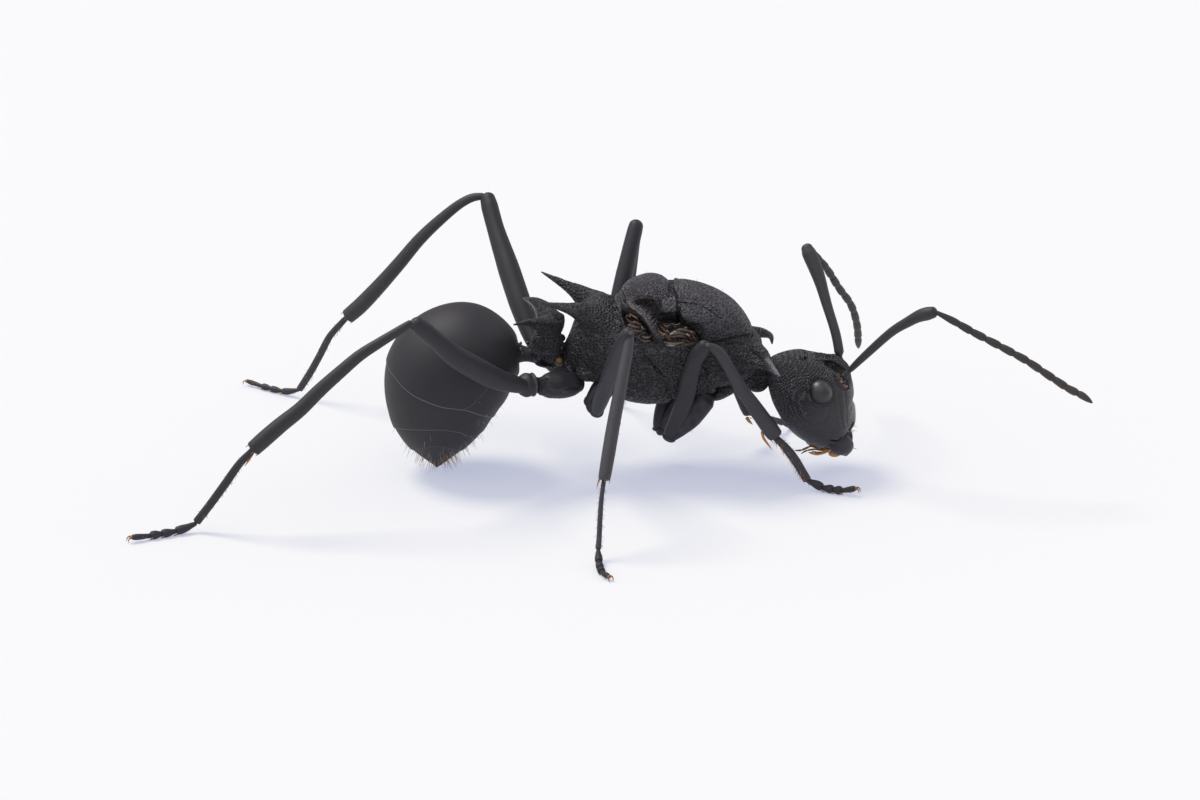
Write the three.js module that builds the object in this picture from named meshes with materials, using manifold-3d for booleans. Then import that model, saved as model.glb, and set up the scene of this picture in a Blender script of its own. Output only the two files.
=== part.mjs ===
// Spiny ant, wingless founding queen, standing. Life size, millimetres, +Z up,
// head towards +X, the ant's left side towards +Y, floor at Z = 0.
// The origin is the middle of the ground rectangle that the whole animal covers.

import * as THREE from "three";
import { mergeVertices } from "three/addons/utils/BufferGeometryUtils.js";
import Module from "manifold-3d";

const wasm = await Module();
wasm.setup();

// ---------------------------------------------------------------- dimensions

const GAP = 0.02;              // clearance between neighbouring plates
const MIN_R = 0.25;            // least radius of a leg or feeler solid

const HEAD_CENTRE = [5.05, 1.85];   // X, Z of the middle of the head
const HEAD_PITCH = 54;              // degrees that the mouth hangs below level
const EYE = { along: -0.295, out: 0.43, side: 0.93, long: 0.30, wide: 0.26, proud: 0.24 };
const SOCKET = { along: -0.10, out: 0.98, side: 0.36 };

const SPINE_PROPODEUM = { base: [-0.30, 0.50, 4.10], tip: [-1.42, 1.12, 4.66], r: 0.26 };
const SPINE_PRONOTUM = {
  left: { base: [3.30, 0.68, 3.12], tip: [4.15, 1.385, 2.78], r: 0.24 },
  right: { base: [3.36, -0.68, 3.12], tip: [4.33, -1.375, 2.88], r: 0.24 },
};
const SPINE_PETIOLE = {
  left: { base: [-1.18, 0.24, 3.78], tip: [-1.84, 0.95, 4.07], r: 0.24 },
  right: { base: [-1.20, 0.24, 3.78], tip: [-2.05, 0.95, 4.035], r: 0.20 },
};

const SIDES_BODY = 16;
const SIDES_LIMB = 8;

// colours of the dry shell, seen as matt charcoal
const SHELL = { color: 0x2f3033, roughness: 0.62, metalness: 0 };
const SHELL_SMOOTH = { color: 0x36383d, roughness: 0.5, metalness: 0 };
const EYE_MATERIAL = { color: 0x2b2c31, roughness: 0.3, metalness: 0 };
const AMBER = { color: 0x9a5a1c, roughness: 0.45, metalness: 0 };
const RUST = { color: 0x6e3b2a, roughness: 0.5, metalness: 0 };

// ---------------------------------------------------------------- small tools

const rad = (d) => (d * Math.PI) / 180;
const V = (x, y, z) => new THREE.Vector3(x, y, z);
const mirror = (p, side) => [p[0], p[1] * side, p[2]];

// Smooth value of a short table of numbers at s in 0..1.
function along(values, s) {
  const n = values.length - 1;
  const f = Math.min(Math.max(s, 0), 1) * n;
  const i = Math.min(Math.floor(f), n - 1);
  const u = f - i;
  const a = values[Math.max(i - 1, 0)], b = values[i], c = values[i + 1], d = values[Math.min(i + 2, n)];
  const m0 = (c - a) / 2, m1 = (d - b) / 2;
  const u2 = u * u, u3 = u2 * u;
  return (2 * u3 - 3 * u2 + 1) * b + (u3 - 2 * u2 + u) * m0 + (-2 * u3 + 3 * u2) * c + (u3 - u2) * m1;
}

// Turns a geometry into a solid with its faces pointing out.
function solid(geometry) {
  let g = geometry.clone();
  g.deleteAttribute("normal");
  g.deleteAttribute("uv");
  g = mergeVertices(g, 1e-5);
  const p = g.attributes.position, t = Array.from(g.index.array);
  let volume = 0;
  const a = V(0, 0, 0), b = V(0, 0, 0), c = V(0, 0, 0);
  for (let i = 0; i < t.length; i += 3) {
    a.fromBufferAttribute(p, t[i]); b.fromBufferAttribute(p, t[i + 1]); c.fromBufferAttribute(p, t[i + 2]);
    volume += a.dot(b.clone().cross(c));
  }
  if (volume < 0) for (let i = 0; i < t.length; i += 3) [t[i], t[i + 1]] = [t[i + 1], t[i]];
  const mesh = new wasm.Mesh({
    numProp: 3,
    vertProperties: Float32Array.from(p.array),
    triVerts: Uint32Array.from(t),
  });
  return new wasm.Manifold(mesh);
}

// The largest separate body of a cut solid.
function largest(m) {
  const bodies = m.decompose();
  let best = bodies[0];
  for (const b of bodies) if (b.volume() > best.volume()) best = b;
  return best;
}

const join = (...parts) => parts.reduce((a, b) => a.add(b));
const cut = (m, ...tools) => largest(tools.reduce((a, b) => a.subtract(b), m));

// A round-sided body swept through upright oval sections on the middle plane.
// rows: [x, z, reach up, reach down, half width], lean in degrees turns a
// section's up direction backwards, n is the squareness of the oval.
function plateBody({ rows, lean = 0, n = 2.3, sides = SIDES_BODY, rings = 10, y = 0, grow = 0 }) {
  const column = (k) => rows.map((r) => r[k]);
  const cols = [0, 1, 2, 3, 4].map(column);
  const leans = rows.map((r) => (r.length > 5 ? r[5] : lean));
  const g = new THREE.CylinderGeometry(1, 1, 1, sides, rings, false);
  const p = g.attributes.position;
  for (let i = 0; i < p.count; i++) {
    const s = 0.5 - p.getY(i);
    const radius = Math.hypot(p.getX(i), p.getZ(i));
    const th = Math.atan2(p.getX(i), p.getZ(i));
    const [x, z, up, down, half] = cols.map((c) => along(c, s));
    const l = rad(along(leans, s));
    let c = Math.cos(th), d = Math.sin(th);
    const k = radius < 0.5 ? 0 : 1 / Math.pow(Math.pow(Math.abs(c), n) + Math.pow(Math.abs(d), n), 1 / n);
    const reach = (c > 0 ? up : down) + grow;
    const h = k * c * reach, w = k * d * (half + grow);
    const end = s < 1e-6 ? -grow : s > 1 - 1e-6 ? grow : 0;
    const dx = along(cols[0], 1) - along(cols[0], 0), dz = along(cols[1], 1) - along(cols[1], 0);
    const L = Math.hypot(dx, dz) || 1;
    p.setXYZ(i, x - Math.sin(l) * h + (end * dx) / L, y + w, z + Math.cos(l) * h + (end * dz) / L);
  }
  return solid(g);
}

// A limb segment along a smooth line. deep is the radius in the plane of the
// limb, and thin * deep the radius across it.
function limb({ path, deep, thin = 1, sides = SIDES_LIMB, rings = 6, grow = 0, least = MIN_R, plane = null }) {
  const curve = new THREE.CatmullRomCurve3(path.map((q) => V(...q)), false, "centripetal");
  const first = V(...path[0]), last = V(...path[path.length - 1]);
  const chord = last.clone().sub(first).normalize();
  let across = plane ? V(...plane) : V(0, 0, 1).cross(chord);
  if (across.length() < 0.05) across = V(0, 1, 0);
  across.normalize();
  const g = new THREE.CylinderGeometry(1, 1, 1, sides, rings, false);
  const p = g.attributes.position;
  for (let i = 0; i < p.count; i++) {
    const s = 0.5 - p.getY(i);
    const radius = Math.hypot(p.getX(i), p.getZ(i));
    const th = Math.atan2(p.getX(i), p.getZ(i)) + Math.PI / sides;
    const at = curve.getPointAt(Math.min(Math.max(s, 0), 1));
    const t = curve.getTangentAt(Math.min(Math.max(s, 0), 1));
    const u = across.clone().addScaledVector(t, -across.dot(t)).normalize();
    const v = t.clone().cross(u);
    const r = radius < 0.5 ? 0 : 1;
    const a = (Math.max(along(deep, s), least) + grow) * r;
    const b = (Math.max(along(deep, s) * thin, least) + grow) * r;
    const end = s < 1e-6 ? -grow : s > 1 - 1e-6 ? grow : 0;
    at.addScaledVector(v, a * Math.cos(th)).addScaledVector(u, b * Math.sin(th)).addScaledVector(t, end);
    p.setXYZ(i, at.x, at.y, at.z);
  }
  return solid(g);
}

// A curved thorn from base to tip.
function spine({ base, tip, r }, side, bow = [0, 0, 0], grow = 0) {
  const a = mirror(base, side), b = mirror(tip, side);
  const m = a.map((v, i) => (v + b[i]) / 2 + (i === 1 ? bow[i] * side : bow[i]));
  return limb({ path: [a, m, b], deep: [r, r * 0.72, r * 0.42, 0.035], sides: 8, rings: 5, least: 0.03, grow });
}

function ball(centre, radii, sides = 12, rings = 8, turn = null) {
  const g = new THREE.SphereGeometry(1, sides, rings);
  g.scale(...radii);
  if (turn) g.rotateY(turn);
  g.translate(...centre);
  return solid(g);
}

// A large block covering one side of a plane, used to part plates.
function halfSpace(point, normal, size = 12) {
  const g = new THREE.BoxGeometry(size, size, size);
  g.translate(0, 0, size / 2);
  g.applyQuaternion(new THREE.Quaternion().setFromUnitVectors(V(0, 0, 1), V(...normal).normalize()));
  g.translate(...point);
  return solid(g);
}

const model = new THREE.Group();
const parts = [];
function put(name, m, material) {
  parts.push({ name, m, material });
  return m;
}

// ---------------------------------------------------------------- trunk

// Each row: x, z, reach up, reach down, half width.
const rowFromEnds = (x, top, bottom, half) => [x, (top + bottom) / 2, (top - bottom) / 2, (top - bottom) / 2, half];

const propodeumRows = [
  rowFromEnds(-0.90, 3.14, 2.82, 0.18),
  rowFromEnds(-0.72, 3.46, 2.60, 0.48),
  rowFromEnds(-0.52, 3.98, 2.44, 0.66),
  rowFromEnds(-0.16, 4.40, 2.34, 0.86),
  rowFromEnds(0.18, 4.38, 2.20, 0.95),
  rowFromEnds(0.55, 4.30, 2.02, 1.02),
];
const pleuronRows = [
  rowFromEnds(-0.10, 4.10, 2.30, 0.90),
  rowFromEnds(0.35, 4.05, 2.02, 1.00),
  rowFromEnds(0.80, 4.10, 1.86, 1.08),
  rowFromEnds(1.25, 4.15, 1.82, 1.10),
  rowFromEnds(1.75, 4.15, 1.88, 1.08),
  rowFromEnds(2.25, 4.10, 1.96, 1.04),
  rowFromEnds(2.75, 4.00, 2.10, 1.00),
];
const pronotumRows = [
  rowFromEnds(2.05, 4.00, 2.20, 1.00),
  rowFromEnds(2.50, 3.95, 2.22, 1.03),
  rowFromEnds(2.95, 3.85, 2.28, 1.02),
  rowFromEnds(3.35, 3.68, 2.40, 0.94),
  rowFromEnds(3.66, 3.50, 2.58, 0.76),
  rowFromEnds(3.86, 3.26, 2.78, 0.46),
];
const scutumRows = [
  rowFromEnds(1.66, 4.66, 3.40, 0.74),
  rowFromEnds(1.88, 4.77, 3.30, 0.92),
  rowFromEnds(2.30, 4.70, 3.20, 1.01),
  rowFromEnds(2.72, 4.54, 3.16, 1.00),
  rowFromEnds(3.12, 4.29, 3.16, 0.88),
  rowFromEnds(3.42, 3.96, 3.18, 0.66),
  rowFromEnds(3.62, 3.62, 3.26, 0.34),
];
const scutellumRows = [
  rowFromEnds(0.46, 4.34, 3.90, 0.34),
  rowFromEnds(0.62, 4.66, 3.80, 0.60),
  rowFromEnds(0.92, 4.87, 3.70, 0.74),
  rowFromEnds(1.24, 4.92, 3.70, 0.78),
  rowFromEnds(1.48, 4.84, 3.80, 0.72),
  rowFromEnds(1.66, 4.66, 3.95, 0.56),
];

const propodeumBody = (grow = 0) => plateBody({ rows: propodeumRows, n: 2.6, rings: 8, grow });
const pleuronBody = (grow = 0) => plateBody({ rows: pleuronRows, n: 2.5, rings: 8, grow });
const pronotumBody = (grow = 0) => plateBody({ rows: pronotumRows, n: 2.4, rings: 8, grow });
const scutumBody = (grow = 0) => plateBody({ rows: scutumRows, n: 2.3, rings: 10, grow });
const scutellumBody = (grow = 0) => plateBody({ rows: scutellumRows, n: 2.3, rings: 8, grow });

// Planes that part the trunk, given by two points of their side view.
function parting(x0, z0, x1, z1, forward) {
  const nx = z1 - z0, nz = x0 - x1;
  const s = Math.sign(nx) * (forward ? 1 : -1);
  const L = Math.hypot(nx, nz);
  const n = [(s * nx) / L, 0, (s * nz) / L];
  return halfSpace([x0 - (n[0] * GAP) / 2, 0, z0 - (n[2] * GAP) / 2], n);
}
const WAIST = [0.43, 4.20, 0.05, 2.31];      // propodeum | mesopleuron
const SHOULDER = [2.33, 3.60, 2.56, 1.90];   // mesopleuron | pronotum

let propodeum = join(propodeumBody(), spine(SPINE_PROPODEUM, 1, [0, 0, 0.03]), spine(SPINE_PROPODEUM, -1, [0, 0, 0.03]));
propodeum = cut(propodeum, parting(...WAIST, true), scutellumBody(GAP));
put("propodeum", propodeum, SHELL);

// lateral edge of the scutum rises towards its rear corner
const scutumFloor = halfSpace([2.67, 0, 3.50], [-0.02, 0, -1]);
const scutumCorner = halfSpace([2.50, 0, 3.55], [-0.72, 0, -0.69]);
const scutellumFloor = halfSpace([1.0, 0, 4.05], [0.30, 0, -1]);
const notch = parting(1.69, 4.9, 1.72, 4.0, true);
const notchBack = parting(1.69, 4.9, 1.72, 4.0, false);

const scutum = cut(scutumBody(), scutumFloor, scutumCorner, notchBack);
put("scutum", scutum, SHELL);
const scutellum = cut(scutellumBody(), scutellumFloor, notch);
put("scutellum", scutellum, SHELL);

const scutumShadow = scutumBody(GAP).subtract(halfSpace([2.67, 0, 3.50 - GAP], [-0.02, 0, -1]))
  .subtract(halfSpace([2.50 - GAP * 0.72, 0, 3.55 - GAP * 0.69], [-0.72, 0, -0.69]));
const scutellumShadow = scutellumBody(GAP).subtract(halfSpace([1.0, 0, 4.05 - GAP], [0.30, 0, -1]));

const mesopleuron = cut(pleuronBody(), parting(...WAIST, false), parting(...SHOULDER, true), scutumShadow, scutellumShadow);
put("mesopleuron", mesopleuron, SHELL);

const neckRows = [
  rowFromEnds(2.62, 2.20, 1.84, 0.36),
  rowFromEnds(2.86, 2.42, 1.88, 0.54),
  rowFromEnds(3.20, 2.62, 2.06, 0.52),
  rowFromEnds(3.55, 2.78, 2.20, 0.44),
  rowFromEnds(3.80, 2.80, 2.14, 0.38),
  rowFromEnds(4.02, 2.72, 2.18, 0.30),
];
const neckBody = (grow = 0) => plateBody({ rows: neckRows, n: 2.2, sides: 12, rings: 6, grow });

let pronotum = join(pronotumBody(), spine(SPINE_PRONOTUM.left, 1, [0.04, 0.03, 0.07]), spine(SPINE_PRONOTUM.right, 1, [0.04, -0.03, 0.07]));
pronotum = cut(pronotum, parting(...SHOULDER, false), scutumShadow);
put("pronotum", pronotum, SHELL);
const neck = cut(neckBody(), pronotumBody(GAP), pleuronBody(GAP));

// Stubs of the four shed wings, a pair on each side, in their hollow.
for (const side of [1, -1]) {
  const name = side > 0 ? "left" : "right";
  const stub = limb({
    path: [mirror([0.62, 0.92, 3.98], side), mirror([1.05, 1.06, 3.90], side), mirror([1.70, 1.12, 3.80], side), mirror([2.22, 1.05, 3.66], side)],
    deep: [0.09, 0.08, 0.15, 0.07], sides: 6, rings: 5, least: 0.05,
  });
  put(`wing_stub_${name}`, cut(stub, pleuronBody(GAP), scutumShadow, scutellumShadow, propodeumBody(GAP)), RUST);
}

// ---------------------------------------------------------------- petiole and gaster

const petioleRows = [
  rowFromEnds(-0.84, 3.20, 2.84, 0.18),
  rowFromEnds(-0.97, 3.64, 2.74, 0.32),
  rowFromEnds(-1.14, 3.96, 2.74, 0.42),
  rowFromEnds(-1.34, 3.94, 2.78, 0.42),
  rowFromEnds(-1.53, 3.66, 2.80, 0.34),
  rowFromEnds(-1.68, 3.22, 2.84, 0.20),
];
const petioleBody = (grow = 0) => plateBody({ rows: petioleRows, n: 2.5, sides: 12, rings: 7, grow });
let petiole = join(petioleBody(), spine(SPINE_PETIOLE.left, 1, [-0.02, 0.04, 0.03]), spine(SPINE_PETIOLE.right, -1, [-0.02, 0.02, 0.03]));

// x, z, reach up, reach down, half width, lean
const gasterRows = [
  [-1.76, 2.92, 0.18, 0.18, 0.20, 0],
  [-2.04, 3.02, 0.58, 0.56, 0.62, 8],
  [-2.48, 3.08, 1.10, 1.02, 1.14, 20],
  [-3.04, 2.93, 1.42, 1.32, 1.42, 37],
  [-3.53, 2.54, 1.52, 1.42, 1.52, 54],
  [-3.79, 2.04, 1.42, 1.38, 1.46, 67],
  [-3.88, 1.53, 1.25, 1.22, 1.28, 76],
  [-3.90, 1.06, 1.00, 1.00, 1.03, 84],
  [-3.90, 0.62, 0.62, 0.62, 0.62, 88],
  [-3.88, 0.17, 0.10, 0.10, 0.10, 90],
];
const gasterBody = (grow = 0) => plateBody({ rows: gasterRows, n: 2.0, sides: 18, rings: 16, grow });
const gaster = gasterBody();
// Rear edges of the first three plates: a point on the plane and its lean.
const GASTER_EDGES = [
  { at: [-3.80, 0, 2.10], lean: 66 },
  { at: [-3.90, 0, 1.12], lean: 88 },
  { at: [-3.90, 0, 0.66], lean: 92 },
];
const edgePlane = ({ at, lean }, behind) => {
  const a = rad(lean);
  const n = behind ? [-Math.cos(a), 0, -Math.sin(a)] : [Math.cos(a), 0, Math.sin(a)];
  return halfSpace([at[0] - (n[0] * GAP) / 2, 0, at[2] - (n[2] * GAP) / 2], n);
};
for (let i = 0; i < 4; i++) {
  const tools = [];
  if (i < 3) tools.push(edgePlane(GASTER_EDGES[i], true));
  if (i > 0) tools.push(edgePlane(GASTER_EDGES[i - 1], false));
  if (i === 0) tools.push(petioleBody(GAP));
  put(`gaster_${i + 1}`, cut(gaster, ...tools), SHELL_SMOOTH);
}
petiole = cut(petiole, propodeumBody(GAP), gasterBody(GAP).subtract(petioleBody(0)));
put("petiole", petiole, SHELL);

// ---------------------------------------------------------------- head

// Head frame: "along" runs from the crown to the mouth, "out" to the face.
const hp = rad(HEAD_PITCH);
const headPoint = (alongHead, out, side) => [
  HEAD_CENTRE[0] + Math.cos(hp) * alongHead + Math.sin(hp) * out,
  side,
  HEAD_CENTRE[1] - Math.sin(hp) * alongHead + Math.cos(hp) * out,
];
// along, reach to the face, reach to the throat, half width
const headSections = [
  [-1.38, -0.24, 0.40, 0.24],
  [-1.28, 0.02, 0.46, 0.47],
  [-1.13, 0.35, 0.54, 0.69],
  [-0.92, 0.62, 0.64, 0.87],
  [-0.62, 0.90, 0.76, 1.00],
  [-0.28, 1.05, 0.84, 1.06],
  [0.08, 1.06, 0.88, 1.05],
  [0.42, 0.93, 0.85, 0.98],
  [0.72, 0.71, 0.74, 0.87],
  [1.00, 0.47, 0.58, 0.72],
  [1.20, 0.28, 0.36, 0.48],
];
const headRows = headSections.map(([t, f, b, w]) => {
  const [x, , z] = headPoint(t, 0, 0);
  return [x, z, f, b, w];
});
const headBody = (grow = 0) => plateBody({ rows: headRows, lean: -HEAD_PITCH, n: 2.25, sides: 16, rings: 12, grow });
const crests = [1, -1].map((side) => limb({
  path: [headPoint(-0.70, 0.80, 0.225 * side), headPoint(-0.30, 1.05, 0.25 * side), headPoint(0.12, 0.97, 0.20 * side)],
  deep: [0.08, 0.15, 0.08], sides: 6, rings: 4, least: 0.05,
}));

for (const side of [1, -1]) {
  const name = side > 0 ? "left" : "right";
  const c = headPoint(EYE.along, EYE.out, EYE.side * side);
  const eye = ball(c, [EYE.wide, EYE.proud, EYE.long], 12, 8, rad(-30));
  put(`eye_${name}`, cut(eye, headBody(GAP)), EYE_MATERIAL);
  const jaw = limb({
    path: [headPoint(0.98, -0.10, 0.48 * side), headPoint(1.28, -0.05, 0.40 * side), headPoint(1.62, -0.14, 0.14 * side)],
    deep: [0.30, 0.30, 0.10], thin: 0.6, sides: 8, rings: 5, least: 0.07,
  });
  put(`mandible_${name}`, cut(jaw, headBody(GAP), halfSpace([0, 0.01 * side, 0], [0, -side, 0])), SHELL_SMOOTH);
}
const mouth = cut(
  limb({ path: [headPoint(0.70, -0.72, 0), headPoint(1.02, -0.62, 0), headPoint(1.28, -0.40, 0)], deep: [0.16, 0.2, 0.12], thin: 1.6, sides: 8, rings: 4, least: 0.12 }),
  headBody(GAP),
  ...parts.filter((q) => q.name.startsWith("mandible_")).map((q) => q.m.scale([1, 1, 1])),
);

// ---------------------------------------------------------------- feelers

const FEELERS = {
  right: {
    scape: [[5.80, -0.38, 2.63], [6.90, -1.00, 3.90], [7.51, -1.31, 4.43], [7.88, -1.46, 4.56]],
    lash: [[7.93, -1.48, 4.53], [9.15, -1.65, 3.88], [10.44, -1.83, 3.15], [11.66, -2.00, 2.40]],
  },
  left: {
    scape: [[5.74, 0.38, 2.70], [5.41, 0.96, 3.87], [4.97, 1.60, 5.12]],
    lash: [[5.02, 1.66, 5.08], [5.60, 2.45, 4.06], [6.10, 3.30, 3.02], [6.30, 4.20, 1.70]],
  },
};
const scapes = {};
for (const [name, f] of Object.entries(FEELERS)) {
  const s = limb({ path: f.scape, deep: [0.10, 0.10, 0.12, 0.14], rings: 5 });
  scapes[name] = s;
  put(`scape_${name}`, cut(s, headBody(GAP), ...crests), SHELL_SMOOTH);
  const l = limb({ path: f.lash, deep: [0.10, 0.11, 0.11, 0.08], rings: 7 });
  put(`funiculus_${name}`, cut(l, limb({ path: f.scape, deep: [0.10, 0.10, 0.12, 0.14], rings: 5, grow: GAP })), SHELL_SMOOTH);
}
const head = cut(join(headBody(), ...crests), ball(headPoint(-1.0, -0.66, 0), [0.1, 0.1, 0.1], 6, 4), neckBody(GAP));
put("head", head, SHELL);
put("neck", cut(neck, headBody(0)), SHELL);
put("mouthparts", mouth, AMBER);

// ---------------------------------------------------------------- legs

// Middle lines of each leg: root of the coxa, then the joint of the femur, the
// knee, the ankle, the heel and the toe, with the bends between them.
const LEGS = {
  front_right: {
    root: [2.62, -0.52, 2.02],
    femur: [[1.66, -0.66, 1.10], [1.96, -0.98, 2.16], [2.46, -1.44, 3.68]],
    tibia: [[2.54, -1.46, 3.70], [3.32, -1.30, 2.56], [4.14, -1.14, 1.30]],
    heel: [4.91, -1.30, 0.24], toe: [6.08, -1.72, 0.15],
  },
  front_left: {
    root: [2.62, 0.52, 2.02],
    femur: [[1.44, 0.65, 0.88], [1.90, 1.00, 2.10], [2.50, 1.44, 3.30]],
    tibia: [[2.56, 1.46, 3.28], [3.12, 1.54, 2.10], [3.63, 1.62, 0.86]],
    heel: [4.42, 2.66, 0.24], toe: [5.44, 3.42, 0.15],
  },
  middle_right: {
    root: [0.30, -0.70, 2.25],
    femur: [[-0.08, -0.92, 1.88], [0.30, -2.40, 3.50], [0.66, -3.60, 4.74]],
    tibia: [[0.70, -3.62, 4.72], [0.40, -4.40, 3.32], [0.09, -5.30, 1.66]],
    heel: [-0.02, -5.78, 0.24], toe: [0.12, -7.15, 0.15],
  },
  middle_left: {
    root: [0.34, 0.70, 2.25],
    femur: [[0.15, 0.90, 1.95], [0.50, 1.71, 3.99], [0.88, 2.42, 5.42]],
    tibia: [[0.88, 2.44, 5.40], [0.70, 3.20, 3.70], [0.52, 3.95, 1.95]],
    heel: [0.45, 4.50, 0.20], toe: [0.75, 5.85, 0.15],
  },
  hind_right: {
    root: [-0.55, -0.52, 2.55],
    femur: [[-1.46, -1.06, 2.57], [-1.98, -1.42, 2.70], [-2.95, -2.09, 3.34], [-3.79, -2.76, 4.27], [-4.42, -3.18, 4.86]],
    tibia: [[-4.44, -3.20, 4.84], [-5.56, -3.47, 4.17], [-6.95, -3.84, 2.97], [-8.09, -4.12, 2.05]],
    heel: [-9.39, -4.03, 0.24], toe: [-10.92, -4.76, 0.15],
  },
  hind_left: {
    root: [-0.60, 0.52, 2.62],
    femur: [[-1.50, 1.06, 2.76], [-1.95, 2.11, 3.62], [-2.30, 2.95, 4.38], [-2.76, 4.15, 5.62]],
    tibia: [[-2.80, 4.16, 5.60], [-3.39, 4.21, 5.30], [-4.88, 4.44, 3.76], [-6.24, 4.65, 2.22]],
    heel: [-7.44, 5.05, 0.26], toe: [-8.80, 6.05, 0.15],
  },
};
const LEG_SIZE = {
  front: { coxa: [0.32, 0.36, 0.26], femur: [0.20, 0.29, 0.25, 0.18], tibia: [0.14, 0.18, 0.19], tarsus: 0.11 },
  middle: { coxa: [0.30, 0.34, 0.26], femur: [0.18, 0.27, 0.24, 0.16], tibia: [0.13, 0.17, 0.17], tarsus: 0.09 },
  hind: { coxa: [0.36, 0.42, 0.28], femur: [0.18, 0.29, 0.28, 0.17], tibia: [0.12, 0.18, 0.20], tarsus: 0.11 },
};

const mix = (a, b, t) => a.map((v, i) => v + (b[i] - v) * t);
const lift = (p, d) => [p[0] + d[0], p[1] + d[1], p[2] + d[2]];
const trunk = () => [propodeumBody(GAP), pleuronBody(GAP), pronotumBody(GAP), neckBody(GAP)];
const floor = halfSpace([0, 0, 0], [0, 0, -1], 40);

for (const [name, j] of Object.entries(LEGS)) {
  const size = LEG_SIZE[name.split("_")[0]];
  const hip = j.femur[0], knee = j.femur[j.femur.length - 1], ankle = j.tibia[j.tibia.length - 1];
  const plane = V(...knee).sub(V(...hip)).cross(V(...ankle).sub(V(...knee))).normalize().toArray();
  const rings = j.femur.length + 1;
  const coxaSolid = (grow) => limb({ path: [j.root, mix(j.root, hip, 0.5), mix(j.root, hip, 0.96)], deep: size.coxa, rings: 3, grow });
  const femurSolid = (grow) => limb({ path: j.femur, deep: size.femur, thin: 0.86, plane, grow, rings });
  const tibiaSolid = (grow) => limb({ path: j.tibia, deep: size.tibia, plane, grow, rings: j.tibia.length });
  const r = size.tarsus;
  const basiSolid = (grow) => limb({ path: [mix(ankle, j.heel, 0.02), mix(ankle, j.heel, 0.98)], deep: [r, r * 0.9], grow, rings: 1 });
  const heel = [j.heel[0], j.heel[1], 0.22], toe = [j.toe[0], j.toe[1], 0.20];
  const tarsusSolid = limb({ path: [mix(heel, toe, 0.04), toe], deep: [r, r, r], rings: 2, sides: 6 });
  const near = name.startsWith("hind") ? [...trunk(), petioleBody(GAP), gasterBody(GAP)] : trunk();
  put(`coxa_${name}`, cut(coxaSolid(0), ...near), SHELL_SMOOTH);
  put(`femur_${name}`, cut(femurSolid(0), coxaSolid(GAP), ...near), SHELL_SMOOTH);
  put(`tibia_${name}`, cut(tibiaSolid(0), femurSolid(GAP)), SHELL_SMOOTH);
  put(`basitarsus_${name}`, cut(basiSolid(0), tibiaSolid(GAP), floor), SHELL_SMOOTH);
  put(`tarsus_${name}`, cut(tarsusSolid, basiSolid(GAP), floor), SHELL_SMOOTH);
}

// ---------------------------------------------------------------- assembly

const box = new THREE.Box3();
for (const { m } of parts) {
  const b = m.boundingBox();
  box.expandByPoint(V(...b.min));
  box.expandByPoint(V(...b.max));
}
model.position.set(-(box.min.x + box.max.x) / 2, -(box.min.y + box.max.y) / 2, -box.min.z);

for (const { name, m, material } of parts) {
  const mesh = m.getMesh();
  const g = new THREE.BufferGeometry();
  g.setAttribute("position", new THREE.BufferAttribute(Float32Array.from(mesh.vertProperties), 3));
  g.setIndex(Array.from(mesh.triVerts));
  g.computeVertexNormals();
  const shape = new THREE.Mesh(g, new THREE.MeshStandardMaterial(material));
  shape.name = name;
  model.add(shape);
}
const root = new THREE.Group();
root.add(model);

export default root;
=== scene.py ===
# Looks of the spiny ant queen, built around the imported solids.
# Body millimetres: X forward, Y to the ant's left, Z up, floor at 0.

import math

import bpy
import numpy as np
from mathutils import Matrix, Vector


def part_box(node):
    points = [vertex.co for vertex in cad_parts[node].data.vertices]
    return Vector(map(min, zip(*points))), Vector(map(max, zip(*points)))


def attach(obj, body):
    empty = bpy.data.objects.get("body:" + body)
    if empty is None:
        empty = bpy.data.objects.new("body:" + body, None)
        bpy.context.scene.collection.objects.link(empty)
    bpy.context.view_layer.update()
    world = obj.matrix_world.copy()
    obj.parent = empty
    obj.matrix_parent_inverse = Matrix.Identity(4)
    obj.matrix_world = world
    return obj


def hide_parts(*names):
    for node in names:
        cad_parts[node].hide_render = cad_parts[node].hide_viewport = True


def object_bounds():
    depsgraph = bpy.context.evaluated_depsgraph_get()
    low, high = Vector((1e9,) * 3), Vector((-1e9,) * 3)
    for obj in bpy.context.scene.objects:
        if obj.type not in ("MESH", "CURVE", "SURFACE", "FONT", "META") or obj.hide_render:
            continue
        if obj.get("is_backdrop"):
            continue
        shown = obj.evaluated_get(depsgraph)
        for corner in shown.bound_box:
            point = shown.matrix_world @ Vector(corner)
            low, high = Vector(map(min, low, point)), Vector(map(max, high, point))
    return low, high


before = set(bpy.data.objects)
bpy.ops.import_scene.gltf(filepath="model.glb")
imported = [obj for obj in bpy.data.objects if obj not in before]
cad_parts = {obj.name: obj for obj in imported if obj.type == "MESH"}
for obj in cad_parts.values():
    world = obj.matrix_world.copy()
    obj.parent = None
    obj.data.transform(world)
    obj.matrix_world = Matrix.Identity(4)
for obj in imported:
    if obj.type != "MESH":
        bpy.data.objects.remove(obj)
CAD_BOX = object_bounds()

rng = np.random.default_rng(7)
PITCH = math.radians(20)          # the camera looks down by this

# ------------------------------------------------------------------ placing

SCUTELLUM_CENTRE = np.array([1.060, 0.0, 4.4042])      # the same node in body millimetres
_b = np.array(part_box("scutellum"), dtype=float).reshape(2, 3)
OFF = (_b[0] + _b[1]) / 2 * 1000.0 - SCUTELLUM_CENTRE


def row(p):
    return (np.asarray(p, dtype=float) + OFF) * 0.001


# ------------------------------------------------------------------ numbers along a line

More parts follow.
